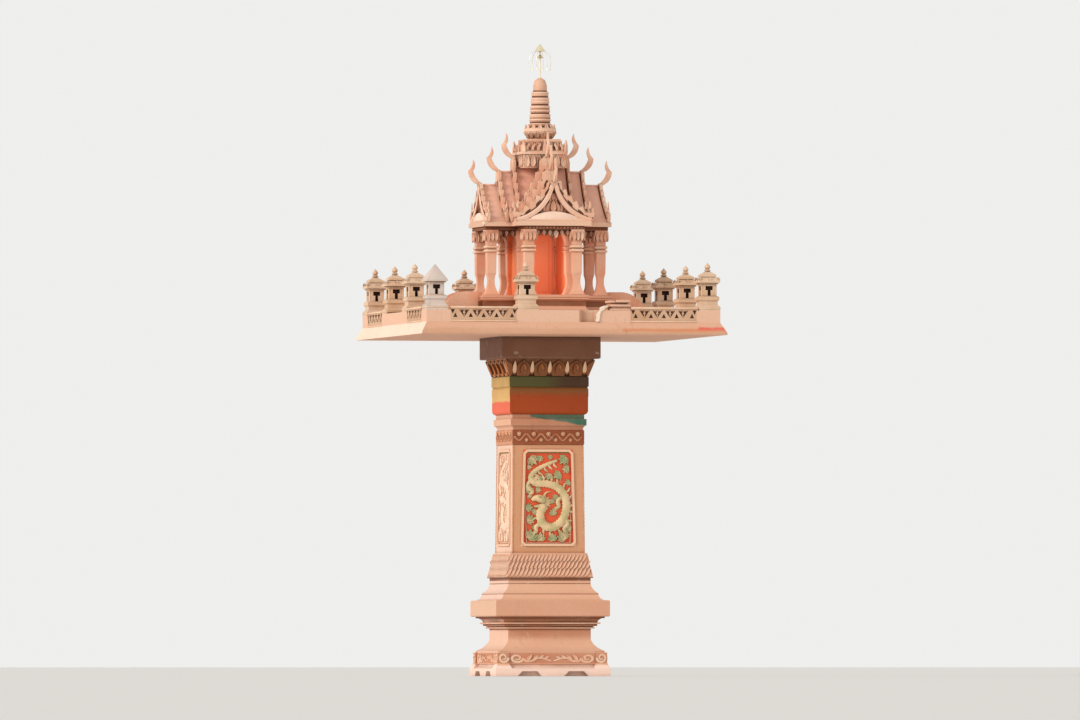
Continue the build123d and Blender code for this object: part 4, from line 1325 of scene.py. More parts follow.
    def corner_cords(self) -> None:
        """A fine twisted cord up each corner of the shaft."""
        steps = 60
        rise = self.cord_high - self.cord_low
        path = [(self.cord_taper * at / steps - self.cord_out, self.cord_low + rise * at / steps)
                for at in range(steps + 1)]
        cord = Bench.stem(path, twisted(steps + 1, 0.0042, 0.0031), 6)
        for corner in cord.data.vertices:
            corner.co.y -= self.cord_out - self.cord_taper * (corner.co.z - self.cord_low) / rise
        self.house.add("corner_cords", Bench.all_round(cord), "carving")

    def frames(self) -> None:
        """A fine raised fillet inside each panel's bead."""
        strip = Bench.block((-0.5, -0.0025, -0.0015), (0.5, 0.0025, 0.0015), 0.001, 1)
        right, left = math.pi / 2 + 0.0115 / 0.398, math.pi / 2 - 0.0115 / 0.398
        places = []
        for x, z, length, angle in ((0, 0.186, 0.184, 0.0), (0, -0.186, 0.205, 0.0),
                                    (0.0975, 0, 0.372, right), (-0.0975, 0, 0.372, left)):
            places.append(shift(x, 0, z) @ Matrix.Rotation(angle, 4, "Y") @ stretch(length))
        front = self.seated(Bench.spread(strip, places), 0.001)
        self.house.add("panel_fillets", Bench.all_round(front), "panel_frame", "panel_paint")

    def beads(self) -> None:
        """Two staggered rows of bosses on the band."""
        places = [shift(at * self.pitch, -self.band_front, self.upper_beads) for at in range(-2, 3)]
        places += [shift(at * self.pitch, -self.band_front, self.lower_beads) @ grow(0.8)
                   for at in (-1.5, -0.5, 0.5, 1.5)]
        beads = Bench.spread(self.ornament.boss(0.0088, 0.007), places)
        self.house.add("band_beads", Bench.all_round(beads), "bead")

    def garland(self) -> None:
        """A twisted garland that winds between the two rows of beads."""
        count = 64
        half = 2.3 * self.pitch
        middle = (self.upper_beads + self.lower_beads) / 2
        path = []
        for at in range(count + 1):
            x = -half + 2 * half * at / count
            path.append((x, middle - 0.013 * math.cos(2 * math.pi * x / self.pitch) - 0.001))
        vine = Bench.stem(path, twisted(count + 1, 0.0044, 0.0034), 6, 0.8)
        vine.data.transform(shift(0, -self.band_front, 0))
        self.house.add("band_garland", Bench.all_round(vine), "garland")


@dataclass
class Capital(Assembly):
    """Cushion, fillet, petals and top slab, with the pale tips between the petals.

    Attributes:
        pitch: distance between petals.
        tip_low: height where a pale tip starts.
        tip_high: height where it ends.
        rib_low: height where a petal's raised heart starts.
        root_out: how far the petals' roots stand from the axis.
        head_out: how far their heads do.
        root_height: height of the roots.
        head_height: height of the heads.
    """

    pitch: float = 0.074
    tip_low: float = 1.244
    tip_high: float = 1.303
    rib_low: float = 1.246
    root_out: float = 0.159
    head_out: float = 0.187
    root_height: float = 1.236
    head_height: float = 1.307

    def build(self) -> None:
        """Make the petals' pale tips and raised hearts, and dress the solids."""
        tip = self.ornament.leaf(self.tip_high - self.tip_low, 0.017)
        self.house.add("petal_tips", self.flared(tip, (-2, -1, 0, 1, 2), self.tip_low, 0.003), "petal_tip",
                       "lotus_paint")
        rib = self.ornament.leaf(0.046, 0.026)
        self.house.add("petal_ribs", self.flared(rib, (-1.5, -0.5, 0.5, 1.5), self.rib_low, 0.010), "petal",
                       "lotus_paint")
        self.house.dress(cushion="cushion", fillet="capital_fillet", petal="lotus_petals",
                         slab="capital_slab")

    def flared(self, piece: Piece, steps: Sequence[float], height: float, proud: float) -> Piece:
        """Spread an upright piece over the flared face of the petals and round the house.

        Args:
            piece: the piece, rooted at the origin.
            steps: where each copy stands, in pitches from the middle.
            height: height of their roots.
            proud: how far they stand out of the flare.

        Returns:
            All copies as one piece.
        """
        rise = self.head_height - self.root_height
        lean = Matrix.Rotation(math.atan2(self.head_out - self.root_out, rise), 4, "X")
        share = (height - self.root_height) / rise
        out = self.root_out + (self.head_out - self.root_out) * share + proud
        places = [shift(at * self.pitch, -out, height) @ lean for at in steps]
        return Bench.all_round(Bench.spread(piece, places))


@dataclass
class Tray(Assembly):
    """Tray, deck, fences and the small pavilions, with their eave leaves and finials.

    Attributes:
        edge: how far a rim pavilion's middle stands from the axis.
        offset: how far it stands from the middle of its side.
        deck: height of the deck.
        body: height of the pavilion's body foot above the deck.
        eave: height of its eave above the deck.
        eave_half: half width of the eave.
        bud: height of the foot of its bud above the deck.
    """

    edge: float = 0.572
    offset: float = 0.192
    deck: float = 1.496
    body: float = 0.057
    eave: float = 0.123
    eave_half: float = 0.044
    bud: float = 0.165

    def whole_places(self) -> List[Matrix]:
        """Places of the ten whole pavilions with stepped roofs.

        Returns:
            The places, on the deck.
        """
        rim = [side.turn @ shift(sign * self.offset, -self.edge, self.deck)
               for side in Side for sign in (-1, 1) if side is not Side.FRONT or sign < 0]
        return rim + [shift(x * self.edge, y * self.edge, self.deck) for x, y in ((1, -1), (1, 1), (-1, 1))]

    def all_places(self) -> List[Matrix]:
        """Places of all eleven pavilions, the plain-roofed one last."""
        return self.whole_places() + [shift(-self.edge, -self.edge, self.deck)]

    def build(self) -> None:
        """Make the small ornament and dress the solids."""
        self.antefixes()
        self.finials()
        self.jambs()
        self.niche_backs()
        self.sills()
        self.rails()
        self.fence_bars()
        self.fence_end_shades()
        self.stub()
        self.stub_slabs()
        self.house.dress(tray="tray", deck="deck", fence="fence_front fence_right fence_back fence_left",
                         cream="rim_pavilions corner_pavilions", grey="grey_pavilion", stub="broken_plinth")

    def antefixes(self) -> None:
        """Small leaves at the corners and middles of each pavilion's eave."""
        places = []
        for turned in TURNS:
            for x in (-1, 0, 1):
                out = -self.eave_half + (0.002 if x == 0 else 0.004)
                places.append(turned @ shift(x * (self.eave_half - 0.005), out + 0.002, self.eave - 0.002))
        ring = Bench.spread(self.ornament.leaf(0.018, 0.011), places)
        self.house.add("pavilion_leaves", Bench.spread(ring, self.whole_places()), "cream", "cream_paint")

    def finials(self) -> None:
        """A turned finial over each bud: a ring, a round bud and a point, spun from one outline."""
        outline = ((0.0135, 0.0), (0.0145, 0.003), (0.008, 0.006), (0.0075, 0.009), (0.0125, 0.014),
                   (0.0125, 0.018), (0.009, 0.024), (0.003, 0.030), (0.0006, 0.034))
        finial = Bench.turned(outline, 12, self.bud - 0.001)
        self.house.add("pavilion_finials", Bench.spread(finial, self.whole_places()), "cream", "cream_paint")

    def jambs(self) -> None:
        """Thin corner shafts on each pavilion's body."""
        outline = ((0.0042, 0.0), (0.00294, 0.006), (0.00294, 0.040), (0.004263, 0.046))
        ring = Bench.spread(Bench.turned(outline, 8, self.body, (0.029, -0.029)), TURNS)
        self.house.add("pavilion_jambs", Bench.spread(ring, self.all_places()), "cream", "cream_paint")

    def niche_backs(self) -> None:
        """A dark T-shaped back in each niche, painted shade."""
        stem, head, shoulder, high = 0.0062, 0.0146, 0.0226, 0.0396
        right = ((stem, 0.0), (stem, shoulder), (head, shoulder), (head, high))
        back = Bench.plate([*right, *[(-x, z) for x, z in reversed(right)]], 0.0172, 0.0010)
        back.data.transform(shift(0, 0, self.body + 0.005))
        ring = Bench.spread(back, TURNS)
        self.house.add("niche_backs", Bench.spread(ring, self.all_places()), "niche", "cream_paint")

    def sills(self) -> None:
        """Thin rounded slabs round each pavilion, at its foot, under its niches and under its eave."""
        slabs = [Bench.slab(half, low, low + thick, 0.0018) for low, half, thick in (
            (self.body - 0.003, 0.0385, 0.006), (self.body + 0.052, 0.0375, 0.005), (0.006, 0.0455, 0.007)
        )]
        sills = Bench.spread(Bench.join(*slabs), self.all_places())
        self.house.add("pavilion_sills", sills, "cream", "cream_paint")

    def rails(self) -> None:
        """A rounded rail on top of each pierced fence, with a fine bead under it."""
        parts = []
        for sign in (-1, 1):
            low, high = sorted((sign * 0.239, sign * 0.517))
            parts.append(Bench.block((low, -0.6195, 1.5015), (high, -0.5995, 1.5095), 0.0032))
            parts.append(Bench.block((low, -0.6185, 1.4472), (high, -0.6145, 1.4535), 0.0015, 1))
        self.house.add("fence_rails", Bench.all_round(*parts), "stud")

    def fence_bars(self) -> None:
        """A slim upright with a bud in the middle of each large opening of the fences."""
        parts = []
        for middle in (0.297, 0.351, 0.405, 0.459):
            for x in (-middle, middle):
                parts += [
                    Bench.block((x - 0.0024, -0.6135, 1.4655), (x + 0.0024, -0.6065, 1.4975)),
                    Bench.block((x - 0.0055, -0.6155, 1.4790), (x + 0.0055, -0.6045, 1.4880), 0.0030),
                ]
        self.house.add("fence_bars", Bench.all_round(*parts), "fence")

    def fence_end_shades(self) -> None:
        """Small dark pointed plates at both ends of each fence, painted shade that stands for pierced
        hollows.
        """
        point = Bench.plate([(0.0085, 0.0), (0.0, 0.018), (-0.0085, 0.0)], 0.6159, 0.0005)
        upright = shift(0, 0, 1.465)
        hanging = upright @ shift(0, 0, 0.032) @ stretch(1, 1, -1)
        places = [shift(sign * x, 0, 0) @ way for sign in (-1, 1)
                  for x, way in ((0.2595, upright), (0.4965, upright), (0.2485, hanging), (0.5075, hanging))]
        self.house.add("fence_end_shades", Bench.all_round(Bench.spread(point, places)), "niche")

    def stub(self) -> None:
        """The pale broken plaster at the foot of the missing pavilion, a curved jagged sliver."""
        path = [(0.112, 1.450), (0.113, 1.462), (0.116, 1.476), (0.122, 1.489), (0.131, 1.501),
                (0.142, 1.510), (0.154, 1.516)]
        radii = [0.010, 0.008, 0.011, 0.008, 0.012, 0.008, 0.004]
        piece = Bench.ragged(Bench.stem(path, radii, 7, 0.5), 5, 0.0032)
        piece.data.transform(shift(-0.012, -0.6165, 0))
        self.house.add("broken_stub", piece, "chip", "cream_paint")

    def stub_slabs(self) -> None:
        """The ragged layers that are left of the missing pavilion's plinth."""
        whole = Bench.join(*[
            Bench.block((left, -0.6185, low), (0.2385, -0.5260, high), 0.0025)
            for left, low, high in ((0.176, 1.528, 1.5385), (0.156, 1.5105, 1.5200), (0.150, 1.4965, 1.5030))
        ])
        draws = random.Random(12)
        for corner in whole.data.vertices:
            if corner.co.x < 0.19:
                corner.co.x += draws.uniform(-0.004, 0.004)
        self.house.add("stub_slabs", whole, "stub")


@dataclass
class Shrine(Assembly):
    """The small open house: base, stairs, posts, walls, valances and lintel, with their carving.

    Attributes:
        core: how far the posts stand from the axis.
        reach: how far the outer columns do.
        lintel: height of the lintel's underside.
        floor: height of the floor.
    """

    core: float = 0.101
    reach: float = 0.231
    lintel: float = 1.837
    floor: float = 1.568

    def build(self) -> None:
        """Make the carving and dress the solids."""
        self.valance_leaves()
        self.lintel_beads()
        self.wall_frame()
        self.wall_field()
        self.stair_scrolls()
        self.column_rings()
        self.head_leaves()
        self.stair_roots()
        self.house.dress(base="shrine_base", post="core_posts", lintel="architrave valances",
                         eave="eave_slab", shrine="columns stair_right stair_back stair_left",
                         orange="sanctum_wall_right sanctum_wall_back sanctum_wall_left")

    def valance_leaves(self) -> None:
        """A hanging leaf on each lappet of the three valances of each arm."""
        span = (self.reach - self.core) / 2
        flank = self.core + span
        places = []
        for half, arm in (
            (self.core - 0.026, shift(0, -self.reach, 0)),
            (span - 0.026, shift(-self.core, -flank, 0) @ spin(-90, "Z")),
            (span - 0.026, shift(self.core, -flank, 0) @ spin(90, "Z")),
        ):
            count = max(3, int(half / 0.012))
            for at in range(count):
                across = (2 * at + 1 - count) * half / count
                long = 1.5 if at == count // 2 and half > 0.05 else 1.0
                places.append(arm @ shift(across, -0.004, self.lintel - 0.002) @ spin(180) @ grow(long))
        leaves = Bench.spread(self.ornament.leaf(0.022, 0.014), places)
        self.house.add("valance_leaves", Bench.all_round(leaves), "gable")

    def lintel_beads(self) -> None:
        """A row of tiny bosses under the eave, over the columns' heads."""
        face = self.reach + 0.027
        places = [shift(at * 0.0145, -face, self.lintel + 0.0075) for at in range(-8, 9)]
        beads = Bench.spread(self.ornament.boss(0.0045, 0.004), places)
        self.house.add("lintel_beads", Bench.all_round(beads), "garland")

    def wall_frame(self) -> None:
        """A raised frame on the inside of the back wall, hollowed out by insets."""
        piece = Bench.block((-0.070, 0.0825, self.floor), (0.070, 0.0895, self.lintel - 0.012))
        Bench.edit(piece, front_only=True)
        Bench.inset((0.011, 0), (0.004, -0.005))
        self.house.add("wall_frame", piece, "orange", "orange_paint")

    def wall_field(self) -> None:
        """The lighter field inside the frame, with a low step at its foot."""
        piece = Bench.block((-0.056, 0.0868, self.floor), (0.056, 0.0885, self.lintel - 0.026))
        Bench.edit(piece, front_only=True)
        Bench.inset((0.004, 0.0006))
        step = Bench.block((-0.068, 0.0755, self.floor), (0.068, 0.0885, self.floor + 0.018), 0.003)
        self.house.add("wall_field", Bench.join(piece, step), "field", "orange_paint")

    def column_rings(self) -> None:
        """Two bright rounded rings round each outer column."""
        rings = []
        for x in (-self.core, self.core):
            for low in (1.7465, 1.7625):
                rings.append(Bench.block((x - 0.0262, -self.reach - 0.0262, low),
                                         (x + 0.0262, -self.reach + 0.0262, low + 0.010), 0.0034, 3))
        self.house.add("column_rings", Bench.all_round(*rings), "stud")

    def head_leaves(self) -> None:
        """Upright leaves on the heads of the outer columns, three to a face."""
        places = [shift(x, -self.reach, 1.792) @ turned @ shift(across, -0.0265, 0)
                  for x in (-self.core, self.core) for turned in TURNS for across in (-0.0165, 0.0, 0.0165)]
        leaves = Bench.spread(self.ornament.leaf(0.040, 0.0150), places)
        self.house.add("head_leaves", Bench.all_round(leaves), "gable")

    def stair_roots(self) -> None:
        """Mortar between each stair and the base's moulding."""
        parts = [Bench.block((-0.0620, -0.2812, 1.4978), (0.0620, -0.2628, 1.5673))]
        for low, high in ((-0.0745, -0.0615), (0.0615, 0.0745)):
            parts.append(Bench.block((low, -0.2815, 1.4975), (high, -0.2625, 1.5840)))
        self.house.add("stair_roots", Bench.spread(Bench.join(*parts), STAIR_TURNS), "base")

    def stair_scrolls(self) -> None:
        """A scroll at the foot of each stringer, on the three sides that have a stair."""
        foot = self.reach + 0.048 + 0.132
        places = [shift(sign * 0.068, -foot, 1.512) @ spin(-90, "Z") for sign in (-1, 1)]
        pair = Bench.spread(self.ornament.scroll(0.010, 1.2, 0.0035), places)
        self.house.add("stair_scrolls", Bench.spread(pair, STAIR_TURNS), "leaf")


@dataclass
class Roof(Assembly):
    """The three tiers, their gable boards and horns, with the flame carving of the gables.

    Attributes:
        half: the tiers' half width.
        eave: height of the eave.
        lip: height of the lip at the eave.
        ridges: ridge heights of the tiers, lowest first.
        reaches: how far each tier's gable stands out.
        bows: how far each slope sags, as a share of its length.
        board: thickness of the gable boards.
        arch_half: half width of the pointed opening at its foot.
        arch_rise: its height.
        arch_bow: how far its sides sag, as a share of their length.
        inner_width: width of the smooth board along it.
        flames_per_slope: flames on each slope of a board.
    """

    half: float = 0.153
    eave: float = 1.871
    lip: float = 0.009
    ridges: Tuple[float, float, float] = (2.027, 2.082, 2.137)
    reaches: Tuple[float, float, float] = (0.260, 0.182, 0.120)
    bows: Tuple[float, float, float] = (0.047, 0.063, 0.074)
    board: float = 0.012
    arch_half: float = 0.142
    arch_rise: float = 0.145
    arch_bow: float = 0.147
    inner_width: float = 0.019
    flames_per_slope: int = 10

    def slope(self, tier: int, share: float, drop: float) -> Direction:
        """Across, height and angle of a place on a tier's right-hand slope, at a drop below its surface."""
        foot = (self.half, self.eave + self.lip)
        return self.bowed(foot, self.ridges[tier], self.bows[tier], share, drop)

    def arch(self, share: float, out: float) -> Direction:
        """Across, height and angle of a place so far outside the pointed opening's right-hand side."""
        foot = (self.arch_half, self.eave)
        return self.bowed(foot, self.eave + self.arch_rise, self.arch_bow, share, -out)

    @staticmethod
    def bowed(foot: FlatPoint, top: float, bow: float, share: float, drop: float) -> Direction:
        """A place on a hollow line from a foot up to the middle.

        Args:
            foot: the line's foot, across and up.
            top: height of its head.
            bow: how far it sags, as a share of its length.
            share: how far along it.
            drop: how far inside the line.

        Returns:
            Across, height and the line's angle there.
        """
        low = Vector(foot)
        chord = Vector((0.0, top)) - low
        sag = bow * chord.length * 4 * share * (1 - share)
        across = Vector((-chord.y, chord.x)).normalized()
        place = low + chord * share + across * (sag + drop)
        return place.x, place.y, math.atan2(chord.y, chord.x) + math.atan(4 * bow * (1 - 2 * share))

    def build(self) -> None:
        """Make the carving and dress the solids."""
        self.board_carving()
        self.edge_flames()
        self.mouldings()
        # A dark plate of painted shade along the inner edge of each recess, then the carved ground.
        self.tympanum_plate("tympanum_edge_shade", -0.001, 0.0, "slit_shade")
        self.tympanum_plate("tympanum_ground", -0.010, 0.0008, "carving")
        self.mound()
        self.tympanum()
        self.tails()
        self.ridge_rolls()
        self.eave_chip()
        horns = self.house.add("horns", Bench.eased("ridge_horns", 0.0024), "gable")
        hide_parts("ridge_horns")
        self.house.dress(roof="roof_lower roof_middle roof_upper",
                         gable="ridge_horns gable_front gable_right gable_back gable_left")

    def board_line(self, tier: int, share: float) -> Tuple[float, float, float, float]:
        """The middle of the carved strip on a board.

        Args:
            tier: which tier, 0 the lowest.
            share: how far from the eave to the ridge.

        Returns:
            Across, height, the slope's angle and the strip's width there.
        """
        outer_x, outer_z, angle = self.slope(tier, share, -0.006)
        inner_x, inner_z, _ = self.slope(tier, share, 0.022) if tier else self.arch(share, self.inner_width)
        width = math.hypot(outer_x - inner_x, outer_z - inner_z)
        return (outer_x + inner_x) / 2, (outer_z + inner_z) / 2, angle, width

    def board_places(self, hollow: bool) -> List[Matrix]:
        """Places along both slopes of all three boards, where every third one is a hollow.

        Args:
            hollow: whether the hollows' places are asked for, or else those of the flames.

        Returns:
            The places, each turned up the slope and with the form's size.
        """
        places = []
        for tier in range(3):
            for at in range(self.flames_per_slope):
                if (at % 3 == 2) != hollow:
                    continue
                share = 0.05 + 0.84 * at / (self.flames_per_slope - 1)
                x, z, angle, width = self.board_line(tier, share)
                size = 1.0 if hollow else min(max(width / 0.028, 0.6), 1.25)
                tilt, root = (0.10, 0.017) if hollow else (0.45, 0.016)
                turned = Matrix.Rotation(math.pi / 2 - angle + tilt, 4, "Y")
                seat = shift(0, 0, -root * size) @ grow(size)
                places += both(shift(x, -self.reaches[tier], z) @ turned @ seat)
        return places

    def board_carving(self) -> None:
        """Carved flames on each board that lean up to the ridge, and between them flat dark leaves of painted
        shade where the hollows lie.
        """
        flames = Bench.spread(self.ornament.flame(0.032, 0.0085), self.board_places(False))
        self.house.add("gable_flames", Bench.all_round(flames), "gable")
        slit_shade = self.ornament.leaf(0.034, 0.0100)
        slit_shade.data.transform(stretch(1.0, 0.60))
        slit_shades = Bench.spread(slit_shade, self.board_places(True))
        self.house.add("gable_slit_shades", Bench.all_round(slit_shades), "slit_shade")

    def edge_flames(self) -> None:
        """Flames that stand on the boards' upper edge, between its teeth."""
        places = []
        for tier in range(3):
            for at in range(self.flames_per_slope):
                share = 0.07 + 0.83 * at / (self.flames_per_slope - 1)
                x, z, angle = self.slope(tier, share, -0.002)
                turned = Matrix.Rotation(math.pi / 2 - angle + 0.75, 4, "Y")
                places += both(shift(x, -self.reaches[tier] + self.board / 2, z) @ turned)
        flames = Bench.spread(self.ornament.flame(0.028, 0.011), places)
        self.house.add("edge_flames", Bench.all_round(flames), "gable")

    @staticmethod
    def line(
        places: Sequence[Direction], least: float, thick: float, sides: int, flat: float, depth: float
    ) -> List[Piece]:
        """A moulding along both slopes of a gable or both sides of its opening.

        Args:
            places: the right-hand line, upwards.
            least: how near the middle it may come.
            thick: its radius.
            sides: edges round it.
            flat: thickness front to back, as a share of its width.
            depth: where it stands, front to back.

        Returns:
            The right and the left moulding.
        """
        parts = []
        for sign in (1, -1):
            path = [(sign * max(x, least), z) for x, z, _ in places]
            strip = Bench.stem(path, [thick] * len(path), sides, flat)
            strip.data.transform(shift(0, depth, 0))
            parts.append(strip)
        return parts

    def arch_line(self, out: float, thick: float, sides: int, flat: float) -> List[Piece]:
        """A moulding along both sides of the pointed opening, so far outside it."""
        places = [self.arch(-0.03 + 1.01 * at / 16, out) for at in range(17)]
        return self.line(places, 0.001, thick, sides, flat, -self.reaches[0])

    def slope_line(self, tier: int, drop: float, back: float, thick: float) -> List[Piece]:
        """A moulding along both slopes of a gable, at a drop below the roof and behind the board's face."""
        places = [self.slope(tier, 0.04 + 0.93 * at / 10, drop) for at in range(11)]
        return self.line(places, 0.002, thick, 7, 0.9, back - self.reaches[tier])

    def mouldings(self) -> None:
        """Smooth boards along the openings with a dark line of painted shade outside them, rolls on the upper
        boards, dark lines of painted shade behind them all.
        """
        middle = self.inner_width / 2
        strips = self.arch_line(middle + 0.001, middle * 0.95, 8, 0.28)
        strips += self.arch_line(0.0020, 0.0030, 8, 1.0)
        self.house.add("gable_strips", Bench.all_round(*strips), "arch")
        groove_shade = self.arch_line(self.inner_width + 0.0025, 0.0026, 6, 0.5)
        self.house.add("arch_grooves", Bench.all_round(*groove_shade), "slit_shade")
        rolls = [piece for tier in (1, 2) for piece in self.slope_line(tier, 0.019, 0.0, 0.0032)]
        self.house.add("gable_rolls", Bench.all_round(*rolls), "gable")
        back = self.board + 0.002
        back_shadow_lines = [piece for tier in range(3) for piece in self.slope_line(tier, -0.0005, back, 0.0030)]
        self.house.add("board_grooves", Bench.all_round(*back_shadow_lines), "slit_shade")

    def tympanum_plate(self, name: str, out: float, proud: float, finish: str) -> None:
        """A thin plate on the wall of each pointed recess, over its sloping base.

        Args:
            name: the plates' name.
            out: how far outside the opening's edge they reach, inside when negative.
            proud: how far they stand in front of the wall's own skin.
            finish: the finish's key.
        """
        wall = self.reaches[0] - self.board - 0.009
        right = [self.arch(0.36 + 0.60 * at / 8, out)[:2] for at in range(9)]
        point = (0.0, self.eave + self.arch_rise + out * 1.6 - 0.002)
        outline = [*right, point, *[(-x, z) for x, z in reversed(right)]]
        self.house.add(name, Bench.all_round(Bench.plate(outline, wall - 0.0004, 0.0010 + proud)), finish)

    def mound(self) -> None:
        """The low pale mound with a curved top at the foot of each pointed opening."""
        half, high, cut = 0.128, 0.040, 0.099
        outline = [(cut, self.eave - 0.001)]
        for at in range(21):
            x = cut - 2 * cut * at / 20
            outline.append((x, self.eave + high * (1 - (x / half) ** 2)))
        piece = Bench.plate([*outline, (-cut, self.eave - 0.001)], 0.246, 0.016)
        Bench.bevel(piece, 0.0035)
        self.house.add("gable_mounds", Bench.all_round(piece), "mound")

    def tympanum(self) -> None:
        """Carving in the recess: leaves on the middle line, flames beside them and small scrolls."""
        foot = shift(0, self.board + 0.008 - self.reaches[0], self.eave + 0.036)
        flames = []
        for x, rise, angle, size in ((0.018, 0.0, 6, 1.1), (0.031, 0.0, 16, 0.9), (0.044, 0.0, 28, 0.68),
                                     (0.056, 0.0, 40, 0.5), (0.010, 0.046, 0, 0.8)):
            flames += both(foot @ shift(x, 0, rise) @ spin(angle) @ grow(size))
        scrolls = []
        for x, size in ((0.024, 1.0), (0.046, 0.7)):
            scrolls += both(foot @ shift(x, -0.001, 0.008 * size) @ grow(size))
        self.house.add("tympanum_carving", Bench.all_round(
            Bench.spread(self.ornament.leaf(0.050, 0.024), [foot, foot @ shift(0, 0, 0.050) @ grow(0.62)]),
            Bench.spread(self.ornament.flame(0.044, 0.014), flames),
            Bench.spread(self.ornament.scroll(0.009, 1.2, 0.0032), scrolls),
        ), "gable")

    def tails(self) -> None:
        """Curled tails at the lower ends of the boards, with flames that stick outwards."""
        scrolls = []
        flames = []
        for reach in self.reaches:
            scrolls += both(shift(self.half - 0.014, -reach, self.eave + 0.014))
            for x, rise, angle in ((0.156, 0.024, 30), (0.146, 0.052, 22)):
                flames += both(shift(x, self.board / 2 - reach, self.eave + rise) @ spin(angle))
        self.house.add("gable_tails", Bench.all_round(
            Bench.spread(self.ornament.scroll(0.0105, 1.3, 0.0045), scrolls),
            Bench.spread(self.ornament.flame(0.034, 0.012), flames),
        ), "gable")

    def ridge_rolls(self) -> None:
        """A rounded ridge tile along each tier, cut from a bevelled block."""
        blocks = []
        for ridge, reach, inner in zip(self.ridges, self.reaches, (*self.reaches[1:], 0.09)):
            low, high = (-0.005, 0.018 - reach, ridge - 0.006), (0.005, -inner, ridge + 0.004)
            blocks.append(Bench.block(low, high, 0.003))
        self.house.add("ridge_rolls", Bench.all_round(*blocks), "roof")

    def eave_chip(self) -> None:
        """The pale broken end of the left eave."""
        piece = Bench.block((-0.277, -0.156, 1.856), (-0.262, -0.128, 1.870), 0.004, 1)
        self.house.add("eave_chip", Bench.ragged(piece, 9, 0.0015), "chip")


@dataclass
class Spire(Assembly):
    """Spire stage, bell, ring stack and metal umbrella, with leaves, cords and hanging chains.

    Attributes:
        stage_half: half width of the square stage.
        stage_low: height of the stage's foot.
        ledge: height of its ledge.
        bell_low: height of the bell's neck.
        petals: petals in each row round the bell.
        canopy_low: height of the upper umbrella's rim.
        chains: how many chains hang from it.
    """

    stage_half: float = 0.092
    stage_low: float = 2.100
    ledge: float = 2.163
    bell_low: float = 2.224
    petals: int = 14
    canopy_low: float = 2.581
    chains: int = 6

    def build(self) -> None:
        """Make the ornament and dress the solids."""
        self.stage_leaves()
        self.bell_petals()
        self.ring_cords()
        self.hangings()
        self.house.dress(gable="spire_base spire_bell", rings="spire_rings", gilt="umbrella")

    def stage_leaves(self) -> None:
        """A row of flames on the ledge of the stage, and leaves on both its storeys."""
        flames = [shift(at * 0.024, -self.stage_half + 0.004, self.ledge) @ stretch(math.copysign(1, at))
                  for at in (-3, -2, -1, 1, 2, 3)]
        leaves = [shift(at * 0.027, -0.0715, self.ledge + 0.012) for at in range(-2, 3)]
        low_leaves = [shift(at * 0.0255, -self.stage_half + 0.001, self.stage_low) for at in range(-3, 4)]
        self.house.add("stage_leaves", Bench.all_round(
            Bench.spread(self.ornament.flame(0.036, 0.013), flames),
            Bench.spread(self.ornament.leaf(0.034, 0.020), leaves),
            Bench.spread(self.ornament.leaf(0.050, 0.024), low_leaves),
        ), "gable")

    def bell_petals(self) -> None:
        """Lotus petals round the bell, under its rim and over it."""
        step = 360 / self.petals
        low = shift(0, -0.0475, self.bell_low) @ spin(34, "X")
        high = spin(step / 2, "Z") @ shift(0, -0.060, self.bell_low + 0.030) @ spin(-8, "X") @ grow(0.8)
        places = [spin(step * at, "Z") @ place for at in range(self.petals) for place in (low, high)]
        self.house.add("bell_petals", Bench.spread(self.ornament.leaf(0.030, 0.022), places), "gable")

    def ring_cords(self) -> None:
        """A thick cord round the top of each ring, and a thin one round the middle of the tall ones."""
        cords = []
        for height, radius, thick in (
            (2.279, 0.0425, 0.0040), (2.2965, 0.0425, 0.0036), (2.3165, 0.0405, 0.0042),
            (2.334, 0.0400, 0.0034), (2.351, 0.0380, 0.0042), (2.370, 0.0370, 0.0034),
            (2.384, 0.0352, 0.0040), (2.408, 0.0330, 0.0040),
        ):
            Bench.clear()
            bpy.ops.mesh.primitive_torus_add(
                major_radius=radius - 0.0005, minor_radius=thick, major_segments=32, minor_segments=8,
                location=(0, 0, height),
            )
            cords.append(Bench.settle())
        self.house.add("ring_cords", Bench.join(*cords), "arch")

    def hangings(self) -> None:
        """Thin chains from the upper umbrella, bowed out, each with a small bell at its end."""
        path = curve_through([(0.0225, 0.0), (0.038, -0.014), (0.046, -0.042), (0.043, -0.072)], 4)
        chain = Bench.stem(path, twisted(len(path), 0.0006, 0.0009), 5)
        bell = Bench.turned([(0.0034, 0.0), (0.0026, 0.0025), (0.0022, 0.006), (0.0007, 0.008)], 8, 0.0)
        bell.data.transform(shift(0.043, 0, -0.079))
        rim = shift(0, 0, self.canopy_low + 0.001)
        places = [spin(360 * at / self.chains, "Z") @ rim for at in range(self.chains)]
        self.house.add("umbrella_chains", Bench.spread(Bench.join(chain, bell), places), "gilt", "gilt_metal")


